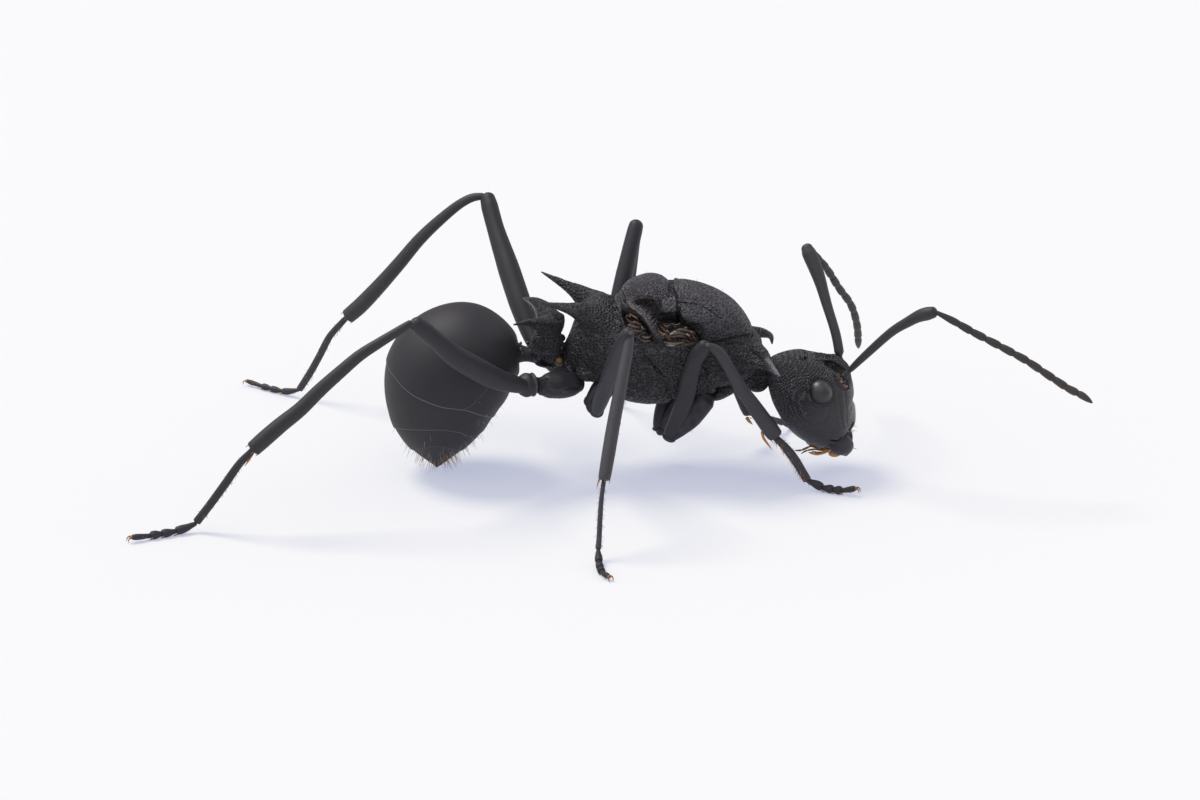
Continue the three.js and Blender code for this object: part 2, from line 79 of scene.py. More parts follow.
def pchip(xs, ys, x):
    """Smooth, never overshooting curve through a few numbers."""
    xs, ys, x = np.asarray(xs, float), np.asarray(ys, float), np.asarray(x, float)
    h = np.diff(xs)
    d = np.diff(ys) / h
    m = np.zeros_like(ys)
    if len(xs) > 2:
        w1, w2 = 2 * h[1:] + h[:-1], h[1:] + 2 * h[:-1]
        ok = d[:-1] * d[1:] > 0
        m[1:-1][ok] = (w1 + w2)[ok] / (w1[ok] / d[:-1][ok] + w2[ok] / d[1:][ok])
    m[0], m[-1] = d[0], d[-1]
    x = np.clip(x, xs[0], xs[-1])
    i = np.clip(np.searchsorted(xs, x) - 1, 0, len(h) - 1)
    t = (x - xs[i]) / h[i]
    return ((2 * t**3 - 3 * t**2 + 1) * ys[i] + (t**3 - 2 * t**2 + t) * h[i] * m[i]
            + (-2 * t**3 + 3 * t**2) * ys[i + 1] + (t**3 - t**2) * h[i] * m[i + 1])


def spline(ys, t):
    """Natural cubic spline through evenly spaced values, t in 0..1."""
    y = np.asarray(ys, float)
    n = len(y) - 1
    a = np.eye(n + 1)
    r = np.zeros((n + 1,) + y.shape[1:])
    for i in range(1, n):
        a[i, i - 1], a[i, i], a[i, i + 1] = 1, 4, 1
        r[i] = 6 * (y[i - 1] - 2 * y[i] + y[i + 1])
    k = np.linalg.solve(a, r)
    f = np.clip(t, 0, 1) * n
    i = np.clip(f.astype(int), 0, n - 1)
    u = (f - i)
    u = u.reshape(u.shape + (1,) * (y.ndim - 1))
    v = 1 - u
    return v * y[i] + u * y[i + 1] + ((v**3 - v) * k[i] + (u**3 - u) * k[i + 1]) / 6


def smooth(a, b, x):
    t = np.clip((x - a) / (b - a), 0, 1)
    return t * t * (3 - 2 * t)


def unit(v):
    v = np.asarray(v, float)
    return v / np.maximum(np.linalg.norm(v, axis=-1, keepdims=True), 1e-12)


def trace(path, n):
    """n points spaced evenly along a smooth curve through the given points."""
    p = np.asarray(path, float)
    if len(p) == 2:
        return p[0] + (p[1] - p[0]) * np.linspace(0, 1, n)[:, None]
    ext = np.vstack([2 * p[0] - p[1], p, 2 * p[-1] - p[-2]])
    out = []
    for i in range(len(p) - 1):
        a, b, c, d = ext[i:i + 4]
        t1 = np.linalg.norm(b - a) ** 0.5
        t2 = t1 + np.linalg.norm(c - b) ** 0.5
        t3 = t2 + np.linalg.norm(d - c) ** 0.5
        t = np.linspace(t1, t2, 24, endpoint=i == len(p) - 2)[:, None]
        a1 = (t1 - t) / t1 * a + t / t1 * b
        a2 = (t2 - t) / (t2 - t1) * b + (t - t1) / (t2 - t1) * c
        a3 = (t3 - t) / (t3 - t2) * c + (t - t2) / (t3 - t2) * d
        b1 = (t2 - t) / t2 * a1 + t / t2 * a2
        b2 = (t3 - t) / (t3 - t1) * a2 + (t - t1) / (t3 - t1) * a3
        out.append((t2 - t) / (t2 - t1) * b1 + (t - t1) / (t2 - t1) * b2)
    q = np.vstack(out)
    s = np.r_[0, np.cumsum(np.linalg.norm(np.diff(q, axis=0), axis=1))]
    u = np.linspace(0, s[-1], n)
    return np.stack([np.interp(u, s, q[:, k]) for k in range(3)], 1)


def frames(c, hint):
    t = unit(np.gradient(c, axis=0))
    u = np.zeros_like(c)
    a = np.asarray(hint, float)
    for i in range(len(c)):
        a = unit(a - t[i] * a.dot(t[i]))
        u[i] = a
    return t, u, np.cross(t, u)


# ------------------------------------------------------------------ mesh building

class Build:
    """Collects closed shapes, with a colour per point, for one piece."""

    def __init__(self):
        self.v, self.f, self.c, self.n = [], [], [], 0

    def add(self, v, f, colour):
        v = np.asarray(v, float)
        c = np.asarray(colour, float)
        self.v.append(v)
        self.f += (np.asarray(f) + self.n).tolist() if isinstance(f, np.ndarray) else [[i + self.n for i in q] for q in f]
        c = np.broadcast_to(c, (len(v), 3)) if c.ndim == 1 else c
        self.c.append(c if c.shape[1] == 4 else np.c_[c, np.ones(len(c))])
        self.n += len(v)

    def make(self, name, material, smooth_shade=True):
        v, c = np.vstack(self.v), np.vstack(self.c)
        me = bpy.data.meshes.new(name)
        me.from_pydata(row(v).tolist(), [], self.f)
        a = me.attributes.new("tint", "FLOAT_COLOR", "POINT")
        a.data.foreach_set("color", c.astype(np.float32).ravel())
        if smooth_shade:
            me.polygons.foreach_set("use_smooth", np.ones(len(me.polygons), bool))
        me.materials.append(material)
        me.update()
        o = bpy.data.objects.new(name, me)
        bpy.context.scene.collection.objects.link(o)
        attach(o, "root")
        return o


def grid_faces(m, n):
    """Quads of m closed rings of n points, each ring after the last."""
    i, j = np.meshgrid(np.arange(m - 1), np.arange(n), indexing="ij")
    a = i * n + j
    b = i * n + (j + 1) % n
    return np.stack([a, b, b + n, a + n], -1).reshape(-1, 4)


def rings_to_mesh(r, tip0, tip1):
    """Closed surface from rings (m, n, 3) and one end point on each side."""
    m, n, _ = r.shape
    v = np.vstack([r.reshape(-1, 3), tip0, tip1])
    f = grid_faces(m, n).tolist()
    a, b = m * n, m * n + 1
    for j in range(n):
        k = (j + 1) % n
        f.append([a, k, j])
        f.append([b, (m - 1) * n + j, (m - 1) * n + k])
    return v, f


def tube(path, radii, n=18, m=None, thin=1.0, hint=None, ends=(1.0, 1.0), swell=None):
    """A round rod along a path. radii: [(s, r), ...]; ends: roundness of the ends."""
    length = np.linalg.norm(np.diff(np.asarray(path, float), axis=0), axis=1).sum()
    s_, r_ = zip(*radii)
    m = m or int(np.clip(length / 0.045, 8, 90))
    c = trace(path, m)
    s = np.linspace(0, 1, m)
    r = pchip(s_, r_, s)
    if hint is None:
        ch = c[-1] - c[0]
        hint = np.cross([0, 0, 1.0], ch)
        if np.linalg.norm(hint) < 1e-3 * length:
            hint = [0, 1, 0]
    t, u, w = frames(c, hint)
    k = 5
    q = np.linspace(0, 1, k + 1)[1:-1]
    def cap(i, sign, round_):
        cc, rr = [], []
        for x in q:
            ang = x * math.pi / 2
            cc.append(c[i] + sign * t[i] * r[i] * round_ * math.sin(ang))
            rr.append(r[i] * math.cos(ang))
        return np.array(cc), np.array(rr)
    c0, r0 = cap(0, -1, ends[0])
    c1, r1 = cap(-1, 1, ends[1])
    C = np.vstack([c0[::-1], c, c1])
    R = np.r_[r0[::-1], r, r1]
    U = np.vstack([np.repeat(u[:1], len(c0), 0), u, np.repeat(u[-1:], len(c1), 0)])
    W = np.vstack([np.repeat(w[:1], len(c0), 0), w, np.repeat(w[-1:], len(c1), 0)])
    th = np.arange(n) * 2 * math.pi / n
    ring = C[:, None] + (U[:, None] * np.cos(th)[None, :, None] * thin + W[:, None] * np.sin(th)[None, :, None]) * R[:, None, None]
    return rings_to_mesh(ring, c[0] - t[0] * r[0] * ends[0], c[-1] + t[-1] * r[-1] * ends[1])


def ball(centre, radii, axes=None, n=24, m=14):
    th = np.arange(n) * 2 * math.pi / n
    ph = np.linspace(0, math.pi, m + 2)[1:-1]
    r = np.stack([np.outer(np.sin(ph), np.cos(th)), np.outer(np.sin(ph), np.sin(th)), np.outer(np.cos(ph), np.ones(n))], -1)
    v, f = rings_to_mesh(r, [0, 0, 1], [0, 0, -1])
    f = [q[::-1] for q in f]
    v = v * np.asarray(radii, float)
    if axes is not None:
        v = v @ np.asarray(axes, float)
    return v + np.asarray(centre, float), f


def thorn(path, r, n=7, m=9, tip=0.06):
    return tube(path, [(0, r), (0.5, r * 0.72), (0.85, r * 0.34), (1, r * tip)], n=n, m=m, ends=(0.4, 0.6))


# ------------------------------------------------------------------ colours and materials

BLACK = np.array([0.0165, 0.0156, 0.0198])
LEG = np.array([0.0215, 0.0205, 0.0280])
FEELER = np.array([0.0260, 0.0245, 0.0260])
AMBER = np.array([0.46, 0.21, 0.060])
STRAW = np.array([0.62, 0.42, 0.17])
RUST = np.array([0.16, 0.055, 0.022])
PALE = np.array([0.50, 0.42, 0.36])
DARK = np.array([0.004, 0.004, 0.005])


def material(name, rough=0.55, spec=0.5, cells=None, grain=None, mottling=0.12, bump=0.4, relief=0.0):
    """Dry cuticle. cells and grain: sizes in millimetres of a fine net and of a finer grain.
    relief: how much the height stored with the points shows in shine and shading."""
    m = bpy.data.materials.new(name)
    m.use_nodes = True
    nt = m.node_tree
    nt.nodes.clear()
    N = nt.nodes.new
    out = N("ShaderNodeOutputMaterial")
    b = N("ShaderNodeBsdfPrincipled")
    nt.links.new(b.outputs[0], out.inputs[0])
    b.inputs["Roughness"].default_value = rough
    b.inputs["Specular IOR Level"].default_value = spec
    at = N("ShaderNodeAttribute")
    at.attribute_name = "tint"
    tc = N("ShaderNodeTexCoord")
    nz = N("ShaderNodeTexNoise")
    nz.inputs["Scale"].default_value = 1.0 / 0.00035
    nz.inputs["Detail"].default_value = 5.0
    nt.links.new(tc.outputs["Object"], nz.inputs["Vector"])
    mr = N("ShaderNodeMapRange")
    mr.inputs["From Min"].default_value = 0.3
    mr.inputs["From Max"].default_value = 0.7
    mr.inputs["To Min"].default_value = 1.0 - mottling
    mr.inputs["To Max"].default_value = 1.0 + mottling
    nt.links.new(nz.outputs["Fac"], mr.inputs["Value"])
    mul = N("ShaderNodeVectorMath")
    mul.operation = "MULTIPLY"
    nt.links.new(at.outputs["Color"], mul.inputs[0])
    nt.links.new(mr.outputs["Result"], mul.inputs[1])
    nt.links.new(mul.outputs[0], b.inputs["Base Color"])
    height = None
    if cells:
        vo = N("ShaderNodeTexVoronoi")
        vo.feature = "DISTANCE_TO_EDGE"
        vo.inputs["Scale"].default_value = 1000.0 / cells
        nt.links.new(tc.outputs["Object"], vo.inputs["Vector"])
        r1 = N("ShaderNodeMapRange")
        r1.inputs["From Max"].default_value = 0.28
        r1.inputs["To Min"].default_value = 1.0
        r1.inputs["To Max"].default_value = 0.0
        nt.links.new(vo.outputs["Distance"], r1.inputs["Value"])
        height = r1.outputs["Result"]
    if grain:
        g = N("ShaderNodeTexNoise")
        g.inputs["Scale"].default_value = 1000.0 / grain
        g.inputs["Detail"].default_value = 3.0
        nt.links.new(tc.outputs["Object"], g.inputs["Vector"])
        if height is None:
            height = g.outputs["Fac"]
        else:
            add = N("ShaderNodeMath")
            add.operation = "MULTIPLY_ADD"
            add.inputs[1].default_value = 0.6
            nt.links.new(g.outputs["Fac"], add.inputs[0])
            nt.links.new(height, add.inputs[2])
            height = add.outputs[0]
    if relief:
        # the plate over the mouth shines more than the rest
        gl = N("ShaderNodeAttribute")
        gl.attribute_name = "gloss"
        rr = N("ShaderNodeMapRange")
        rr.inputs["To Min"].default_value = rough
        rr.inputs["To Max"].default_value = 0.16
        nt.links.new(gl.outputs["Fac"], rr.inputs["Value"])
        nt.links.new(rr.outputs["Result"], b.inputs["Roughness"])
        sh = N("ShaderNodeMapRange")
        sh.inputs["To Min"].default_value = spec * (1 - relief)
        sh.inputs["To Max"].default_value = spec * (1 + relief)
        nt.links.new(at.outputs["Alpha"], sh.inputs["Value"])
        nt.links.new(sh.outputs["Result"], b.inputs["Specular IOR Level"])
        add = N("ShaderNodeMath")
        add.operation = "MULTIPLY_ADD"
        add.inputs[1].default_value = 1.6
        nt.links.new(at.outputs["Alpha"], add.inputs[0])
        nt.links.new(height, add.inputs[2])
        height = add.outputs[0]
    if height is not None:
        bp = N("ShaderNodeBump")
        bp.inputs["Strength"].default_value = bump
        bp.inputs["Distance"].default_value = 0.00002
        nt.links.new(height, bp.inputs["Height"])
        nt.links.new(bp.outputs["Normal"], b.inputs["Normal"])
    return m


M_SHELL = material("rough_shell", rough=0.38, spec=0.46, grain=0.018, bump=0.62, relief=0.50)
M_GASTER = material("gaster_shell", rough=0.60, spec=0.38, grain=0.022, bump=0.10, mottling=0.06)
M_LEG = material("leg_shell", rough=0.56, spec=0.42, grain=0.03, bump=0.12, mottling=0.08)
M_EYE = material("eye", rough=0.41, spec=0.65, cells=0.022, bump=0.05, mottling=0.05)
M_JAW = material("jaw", rough=0.45, spec=0.45, grain=0.05, bump=0.15, mottling=0.1)
M_SOFT = material("mouth_amber", rough=0.45, spec=0.5, grain=0.05, bump=0.1, mottling=0.25)
M_WING = material("wing_root", rough=0.34, spec=0.6, grain=0.06, bump=0.4, mottling=0.45)
M_HAIR = material("hair", rough=0.4, spec=0.5, mottling=0.15)

# ------------------------------------------------------------------ legs

HIND_FEMUR = [(0, 0.165), (0.06, 0.200), (0.18, 0.245), (0.34, 0.278), (0.5, 0.275), (0.68, 0.242), (0.84, 0.214), (0.94, 0.214), (1, 0.19)]
HIND_TIBIA = [(0, 0.085), (0.05, 0.105), (0.12, 0.115), (0.35, 0.145), (0.7, 0.178), (0.93, 0.198), (1, 0.190)]
MID_FEMUR = [(0, 0.15), (0.06, 0.185), (0.25, 0.212), (0.6, 0.208), (0.88, 0.190), (0.96, 0.190), (1, 0.165)]
MID_TIBIA = [(0, 0.085), (0.05, 0.12), (0.14, 0.135), (0.4, 0.158), (0.75, 0.168), (0.94, 0.160), (1, 0.150)]
FRONT_FEMUR = [(0, 0.15), (0.06, 0.185), (0.25, 0.208), (0.6, 0.215), (0.86, 0.188), (0.95, 0.185), (1, 0.160)]
FRONT_TIBIA = [(0, 0.085), (0.05, 0.115), (0.14, 0.135), (0.4, 0.155), (0.75, 0.185), (0.94, 0.198), (1, 0.185)]

# gain, heel and toe make some legs lighter or darker: painted light and shade
LEGS = {
    "front_right": dict(gain=(0.78, 1.5),
        coxa=[(2.50, -0.48, 2.12), (2.12, -0.60, 1.66), (1.70, -0.66, 1.20)], coxa_r=[(0, 0.27), (0.12, 0.33), (0.45, 0.33), (0.85, 0.25), (1, 0.20)],
        femur=[(1.64, -0.66, 1.10), (1.82, -0.78, 1.54), (2.00, -0.97, 2.16), (2.12, -1.18, 2.86), (2.28, -1.34, 3.37), (2.46, -1.46, 3.69)], femur_r=FRONT_FEMUR,
        tibia=[(2.56, -1.46, 3.69), (2.74, -1.43, 3.57), (3.00, -1.38, 3.18), (3.33, -1.29, 2.55), (3.60, -1.24, 2.15), (3.91, -1.17, 1.67), (4.14, -1.12, 1.33)], tibia_r=FRONT_TIBIA,
        basi=[(4.15, -1.12, 1.27), (4.38, -1.167, 1.047), (4.62, -1.222, 0.738), (4.81, -1.273, 0.429), (4.905, -1.30, 0.27)], basi_r=(0.085, 0.112, 0.105, 0.105),
        tarsus=[(4.92, -1.30, 0.245), (5.10, -1.37, 0.190), (5.26, -1.44, 0.130), (5.49, -1.52, 0.108), (5.68, -1.59, 0.110), (5.90, -1.67, 0.158), (6.02, -1.71, 0.205)], tarsus_r=0.107,
        shine=(707.5, 345.0, -1.62), spur=[(762, 432, -1.13), (763.5, 438, -1.13), (767, 443, -1.12), (772, 450, -1.10)], spur_r=0.036, brush=1.0),
    "front_left": dict(
        coxa=[(2.50, 0.48, 2.12), (1.98, 0.58, 1.44), (1.50, 0.66, 0.90)], coxa_r=[(0, 0.27), (0.12, 0.33), (0.45, 0.31), (0.85, 0.22), (1, 0.17)],
        femur=[(1.42, 0.66, 0.80), (1.53, 0.78, 1.34), (1.88, 1.00, 2.08), (2.20, 1.22, 2.76), (2.50, 1.44, 3.28)], femur_r=FRONT_FEMUR,
        tibia=[(2.58, 1.45, 3.27), (2.80, 1.48, 2.94), (3.12, 1.54, 2.12), (3.40, 1.58, 1.44), (3.62, 1.62, 0.92)], tibia_r=FRONT_TIBIA,
        basi=[(3.64, 1.63, 0.86), (3.88, 1.95, 0.69), (4.18, 2.34, 0.45), (4.42, 2.65, 0.27)], basi_r=(0.055, 0.072, 0.075, 0.080),
        tarsus=[(4.44, 2.68, 0.24), (4.62, 2.84, 0.14), (4.90, 3.06, 0.095), (5.18, 3.26, 0.10), (5.38, 3.40, 0.14)], tarsus_r=0.095,
        spur=[(747, 418, 1.62), (749, 421, 1.62), (751, 423, 1.62), (752.5, 424.5, 1.62)], spur_r=0.045, brush=1.0),
    "middle_right": dict(gain=(0.80, 2.1),
        coxa=[(0.20, -0.52, 2.42), (-0.02, -0.72, 2.24), (-0.22, -0.86, 2.08)], coxa_r=[(0, 0.25), (0.4, 0.27), (0.8, 0.21), (1, 0.16)],
        femur=[(-0.08, -0.93, 1.86), (0.09, -1.55, 2.57), (0.23, -2.14, 3.21), (0.40, -2.83, 3.95), (0.53, -3.29, 4.44), (0.65, -3.60, 4.74)], femur_r=MID_FEMUR,
        tibia=[(0.70, -3.63, 4.71), (0.64, -3.79, 4.38), (0.51, -4.12, 3.80), (0.33, -4.59, 2.99), (0.21, -4.95, 2.38), (0.10, -5.28, 1.80)], tibia_r=MID_TIBIA,
        basi=[(0.08, -5.30, 1.70), (0.03, -5.43, 1.33), (0.0, -5.60, 0.90), (-0.02, -5.74, 0.52), (-0.04, -5.86, 0.30)], basi_r=(0.055, 0.066, 0.068, 0.075),
        tarsus=[(-0.04, -5.88, 0.27), (-0.03, -6.15, 0.17), (0.0, -6.52, 0.100), (0.07, -6.88, 0.097), (0.19, -7.10, 0.105)], tarsus_r=0.094, toe=0.78, heel=1.9,
        shine=(630.5, 333.0, -3.76), spur=[(600, 478, -5.28), (598, 483, -5.30), (596.5, 489, -5.34)], spur_r=0.022, brush=0.3),
    "middle_left": dict(
        coxa=[(0.26, 0.52, 2.42), (0.20, 0.72, 2.20), (0.16, 0.86, 2.02)], coxa_r=[(0, 0.25), (0.4, 0.27), (0.8, 0.21), (1, 0.16)],
        femur=[(0.13, 0.90, 1.95), (0.29, 1.26, 3.02), (0.50, 1.71, 3.98), (0.72, 2.15, 4.85), (0.86, 2.42, 5.36)], femur_r=[(0, 0.15), (0.06, 0.185), (0.25, 0.225), (0.6, 0.235), (0.85, 0.215), (0.97, 0.205), (1, 0.195)],
        tibia=[(0.90, 2.50, 5.36), (0.80, 2.88, 4.55), (0.66, 3.40, 3.30), (0.52, 3.93, 2.02)], tibia_r=MID_TIBIA,
        basi=[(0.51, 3.96, 1.94), (0.48, 4.18, 1.30), (0.46, 4.38, 0.66), (0.45, 4.50, 0.26)], basi_r=(0.055, 0.068, 0.070, 0.075),
        tarsus=[(0.45, 4.53, 0.22), (0.50, 4.85, 0.12), (0.60, 5.25, 0.088), (0.68, 5.60, 0.09), (0.75, 5.80, 0.12)], tarsus_r=0.082,
        spur=None, spur_r=0.022, brush=0.3),
    "hind_right": dict(
        coxa=[(-0.52, -0.50, 2.44), (-0.80, -0.66, 2.45), (-1.02, -0.80, 2.49), (-1.24, -0.94, 2.50), (-1.40, -1.02, 2.50)], coxa_r=[(0, 0.24), (0.2, 0.31), (0.5, 0.34), (0.8, 0.30), (1, 0.20)],
        knob=[(543, 384.5, -1.00), (538, 384.5, -1.04), (534, 384.5, -1.08), (527, 385.0, -1.14), (519, 385.5, -1.22)], gain=(0.80, 1.0),
        femur=[(-1.76, -1.28, 2.60), (-1.98, -1.42, 2.71), (-2.44, -1.72, 2.96), (-2.95, -2.09, 3.38), (-3.44, -2.46, 3.83), (-3.80, -2.76, 4.28), (-4.25, -3.10, 4.80)], femur_r=HIND_FEMUR,
        tibia=[(-4.40, -3.20, 4.86), (-4.63, -3.26, 4.72), (-5.10, -3.37, 4.45), (-5.56, -3.47, 4.17), (-6.02, -3.59, 3.80), (-6.49, -3.71, 3.40), (-6.95, -3.84, 2.97), (-7.42, -3.95, 2.61), (-7.88, -4.07, 2.23), (-8.03, -4.11, 2.10)], tibia_r=HIND_TIBIA,
        basi=[(-8.10, -4.12, 2.01), (-8.35, -4.107, 1.745), (-8.71, -4.08, 1.214), (-9.08, -4.055, 0.68), (-9.385, -4.035, 0.265)], basi_r=(0.085, 0.10, 0.098, 0.098),
        tarsus=[(-9.42, -4.045, 0.215), (-9.67, -4.165, 0.140), (-9.955, -4.31, 0.108), (-10.29, -4.468, 0.106), (-10.56, -4.594, 0.110), (-10.84, -4.72, 0.135)], tarsus_r=0.105, toe=1.15,
        spur=[(252, 455, -4.14), (249, 460, -4.15), (245, 466, -4.15)], spur_r=0.028, brush=0.5),
    "hind_left": dict(gain=(0.7, 1.4),
        coxa=[(-0.55, 0.50, 2.46), (-0.86, 0.66, 2.48), (-1.10, 0.80, 2.52), (-1.32, 0.93, 2.58)], coxa_r=[(0, 0.24), (0.2, 0.31), (0.55, 0.31), (0.85, 0.24), (1, 0.20)],
        femur=[(-1.53, 1.12, 2.72), (-1.68, 1.476, 3.003), (-1.946, 2.111, 3.60), (-2.276, 2.903, 4.36), (-2.52, 3.494, 4.93), (-2.72, 4.08, 5.50)], femur_r=HIND_FEMUR,
        tibia=[(-2.86, 4.15, 5.55), (-3.10, 4.18, 5.50), (-3.395, 4.215, 5.329), (-3.885, 4.284, 4.898), (-4.378, 4.359, 4.386), (-4.873, 4.443, 3.754), (-5.371, 4.527, 3.14), (-5.869, 4.604, 2.577), (-6.16, 4.645, 2.30)], tibia_r=HIND_TIBIA,
        basi=[(-6.27, 4.65, 2.19), (-6.62, 4.747, 1.748), (-6.878, 4.851, 1.217), (-7.136, 4.951, 0.711), (-7.40, 5.04, 0.26)], basi_r=(0.075, 0.09, 0.09, 0.085),
        tarsus=[(-7.43, 5.06, 0.23), (-7.75, 5.28, 0.11), (-8.15, 5.56, 0.085), (-8.50, 5.82, 0.10), (-8.72, 5.98, 0.12)], tarsus_r=0.084,
        spur=None, spur_r=0.028, brush=0.5),
}


def from_view(px, py, y):
    """A point at side distance y that the camera sees at px, py of a 1200 by 800 frame."""
    e, z = PITCH, 1.806
    k = 1 / 42.0
    for _ in range(12):
        d = y * math.cos(e) - (z - 1.806) * math.sin(e)
        k = (1 + d / 150.0) / 42.0
        z = 1.806 + ((400 - py) * k - y * math.sin(e)) / math.cos(e)
    return np.array([(px - 600) * k, y, z])


def claws(b, at, forward, size=0.135):
    """Two small hooks at the end of a foot."""
    f = unit(np.array([forward[0], forward[1], 0.0]))
    s = np.array([-f[1], f[0], 0.0])
    for k in (-1, 1):
        p0 = at + s * 0.02 * k
        p1 = p0 + f * size * 0.42 + s * k * size * 0.20 + np.array([0, 0, size * 0.14])
        p2 = p0 + f * size * 0.86 + s * k * size * 0.27 + np.array([0, 0, -size * 0.18])
        p3 = p0 + f * size * 0.92 + s * k * size * 0.23 + np.array([0, 0, -size * 0.78])
        p3[2] = max(p3[2], 0.004)
        b.add(*thorn([p0, p1, p2, p3], 0.021, n=8, m=12), RUST * 1.4)
    b.add(*ball(at + f * 0.03, (0.050, 0.050, 0.040), n=12, m=7), AMBER * 0.6)


def leg(name, q):
    b = Build()
    plane = np.cross(np.subtract(q["femur"][-1], q["femur"][0]), np.subtract(q["tibia"][-1], q["tibia"][0]))
    plane = unit(plane)
    n = 28
    cv, cf = tube(q["coxa"], q["coxa_r"], n=n * 2, hint=plane, ends=(0.5, 0.55), m=90)
    # faint streaks along the hip
    w = unit(np.array(q["coxa"][-1]) - np.array(q["coxa"][0]))
    a_ = cv @ w
    o_ = cv - a_[:, None] * w
    k_ = np.sin(o_ @ np.array([31.0, 23.0, 37.0]) + 2.1 * np.sin(a_ * 9.0)) * np.sin(o_ @ np.array([-17.0, 29.0, 11.0]) + 1.3 * np.sin(a_ * 5.0 + 1.0))
    b.add(cv, cf, np.clip(LEG * 0.85 * (1 + 0.55 * k_)[:, None] + np.array([0.006, 0.003, -0.002]) * np.clip(k_, 0, 1)[:, None], 0.002, 1))
    # trochanter: a knob, a dark collar and the root of the thigh; the light ring round the root of the thigh is a
    # painted highlight
    ca, hip, up = np.array(q["coxa"][-1]), np.array(q["femur"][0]), np.array(q["femur"][1])
    d = unit(up - hip)
    r = q["femur_r"][0][1]
    mid = (ca + hip) / 2 - d * 0.02
    if q.get("knob"):
        kn = [from_view(*p) for p in q["knob"]]
        b.add(*tube(kn[:3], [(0, 0.20), (0.5, 0.17), (1, 0.20)], n=n, m=12, ends=(0.6, 0.6)), LEG * 0.45)
        b.add(*tube([kn[2], (kn[2] + kn[3]) / 2, kn[3], kn[4]], [(0, 0.245), (0.12, 0.285), (0.2, 0.268), (0.5, 0.292), (0.85, 0.24), (1, 0.19)], n=n, m=24, hint=(0, 1, 0), ends=(0.3, 0.6)), LEG * 0.9)
        b.add(*tube([kn[2] + (kn[3] - kn[2]) * 0.16, kn[2] + (kn[3] - kn[2]) * 0.22], [(0, 0.288), (1, 0.288)], n=n, m=6, ends=(0.25, 0.25)), LEG * 2.6)
        # two dark balls on the knob: painted shade in its pits
        b.add(*ball(from_view(540, 389.5, -1.22), (0.05, 0.05, 0.09), n=12, m=8), LEG * 0.3)
        b.add(*ball(from_view(545, 379.5, -1.25), (0.09, 0.04, 0.05), n=12, m=8), LEG * 0.3)
        b.add(*ball(from_view(560, 391, -1.06), (0.20, 0.05, 0.05), n=12, m=8), PALE * 0.08)
        r = 0.0
    else:
        b.add(*tube([ca, mid, hip + d * 0.03], [(0, r * 0.95), (0.5, r * 1.16), (1, r * 1.02)], n=n, m=12, ends=(0.7, 0.5)), LEG * 0.7)
    if r:
        b.add(*tube([hip - d * 0.010, hip + d * 0.025], [(0, r * 1.15), (1, r * 1.15)], n=n, m=6, ends=(0.25, 0.25)), LEG * 1.6)
        b.add(*tube([ca - d * 0.02, ca + d * 0.02], [(0, r * 1.12), (1, r * 1.12)], n=n, m=6, ends=(0.25, 0.25)), LEG * 0.4)
    # gain scales the colour of thigh and shin per leg, heel and toe that of the foot: painted light and shade, one leg
    # lighter or darker than another
    gf, gt = q.get("gain", (1.0, 1.0))
    b.add(*tube(q["femur"], q["femur_r"], n=n, thin=0.90, hint=plane, ends=(0.35, 0.85)), LEG * gf)
    # knee: a small hinge between thigh and shin, coloured paler as a painted highlight
    k0, k1 = np.array(q["femur"][-1]), np.array(q["tibia"][0])
    b.add(*ball((k0 + k1) / 2, np.array([0.105, 0.105, 0.105]), n=16, m=10), LEG * 1.8)
    # a pale ball on the knee: painted highlight
    if q.get("shine"):
        b.add(*ball(from_view(*q["shine"]), (0.055, 0.030, 0.045), n=16, m=10), PALE * 0.17)
    b.add(*tube(q["tibia"], q["tibia_r"], n=n, thin=0.94, hint=plane, ends=(0.7, 0.30)), (LEG * gt + (LEG * gt).mean()) / 2)
    rb = q["basi_r"]
    b.add(*tube(q["basi"], [(0, rb[0]), (0.12, rb[0] * 1.05), (0.45, rb[1]), (0.8, rb[2]), (1, rb[3])], n=20, thin=0.9, ends=(0.8, 0.35)), LEG * q.get("heel", min(gt, 1.5)))
    # the ankle: a short neck that joins the shin to the foot
    a0, a1 = np.array(q["tibia"][-1]), np.array(q["basi"][0])
    ta, tb = unit(a0 - np.array(q["tibia"][-2])), unit(np.array(q["basi"][1]) - a1)
    b.add(*tube([a0 - ta * 0.06, (a0 + a1) / 2, a1 + tb * 0.07], [(0, rb[0] * 0.95), (0.5, rb[0] * 0.92), (1, rb[0] * 0.98)], n=18, m=12, ends=(0.5, 0.5)), LEG * 0.85)
    # four short toe joints, each widest at its far end, with little spines below
    c = trace(q["tarsus"], 81)
    cuts = [0.0, 0.33, 0.53, 0.70, 1.0]
    tr = q["tarsus_r"]
    for i in range(4):
        a, z = int(cuts[i] * 80), int(cuts[i + 1] * 80)
        seg = c[a:z + 1].copy()
        seg = seg[::max(1, len(seg) // 6)] if len(seg) > 7 else seg
        last = i == 3
        rr = [(0, tr * 0.50), (0.25, tr * 0.66), (0.8, tr * 1.0), (1, tr * 0.94)] if not last else [(0, tr * 0.5), (0.3, tr * 0.58), (0.8, tr * 0.72), (1, tr * 0.6)]
        b.add(*tube(seg, rr, n=18, m=14, ends=(0.5, 0.45)), LEG * q.get("toe", 0.95))
        t = unit(c[z] - c[max(z - 3, 0)])
        sd = unit(np.cross([0, 0, 1.0], t))
        if not last:
            for k in range(5):
                ang = math.pi * (0.12 + 0.19 * k)
                out = sd * math.cos(ang) - np.array([0, 0, 1.0]) * math.sin(ang)
                p = c[z] + out * tr * 0.75 - t * 0.01
                e = p + t * 0.085 + out * 0.022
                e[2] = max(e[2], 0.003)
                b.add(*thorn([p, (p + e) / 2 + out * 0.008, e], 0.013, n=6, m=6), AMBER * 0.9)
    claws(b, c[-1], c[-1] - c[-6])
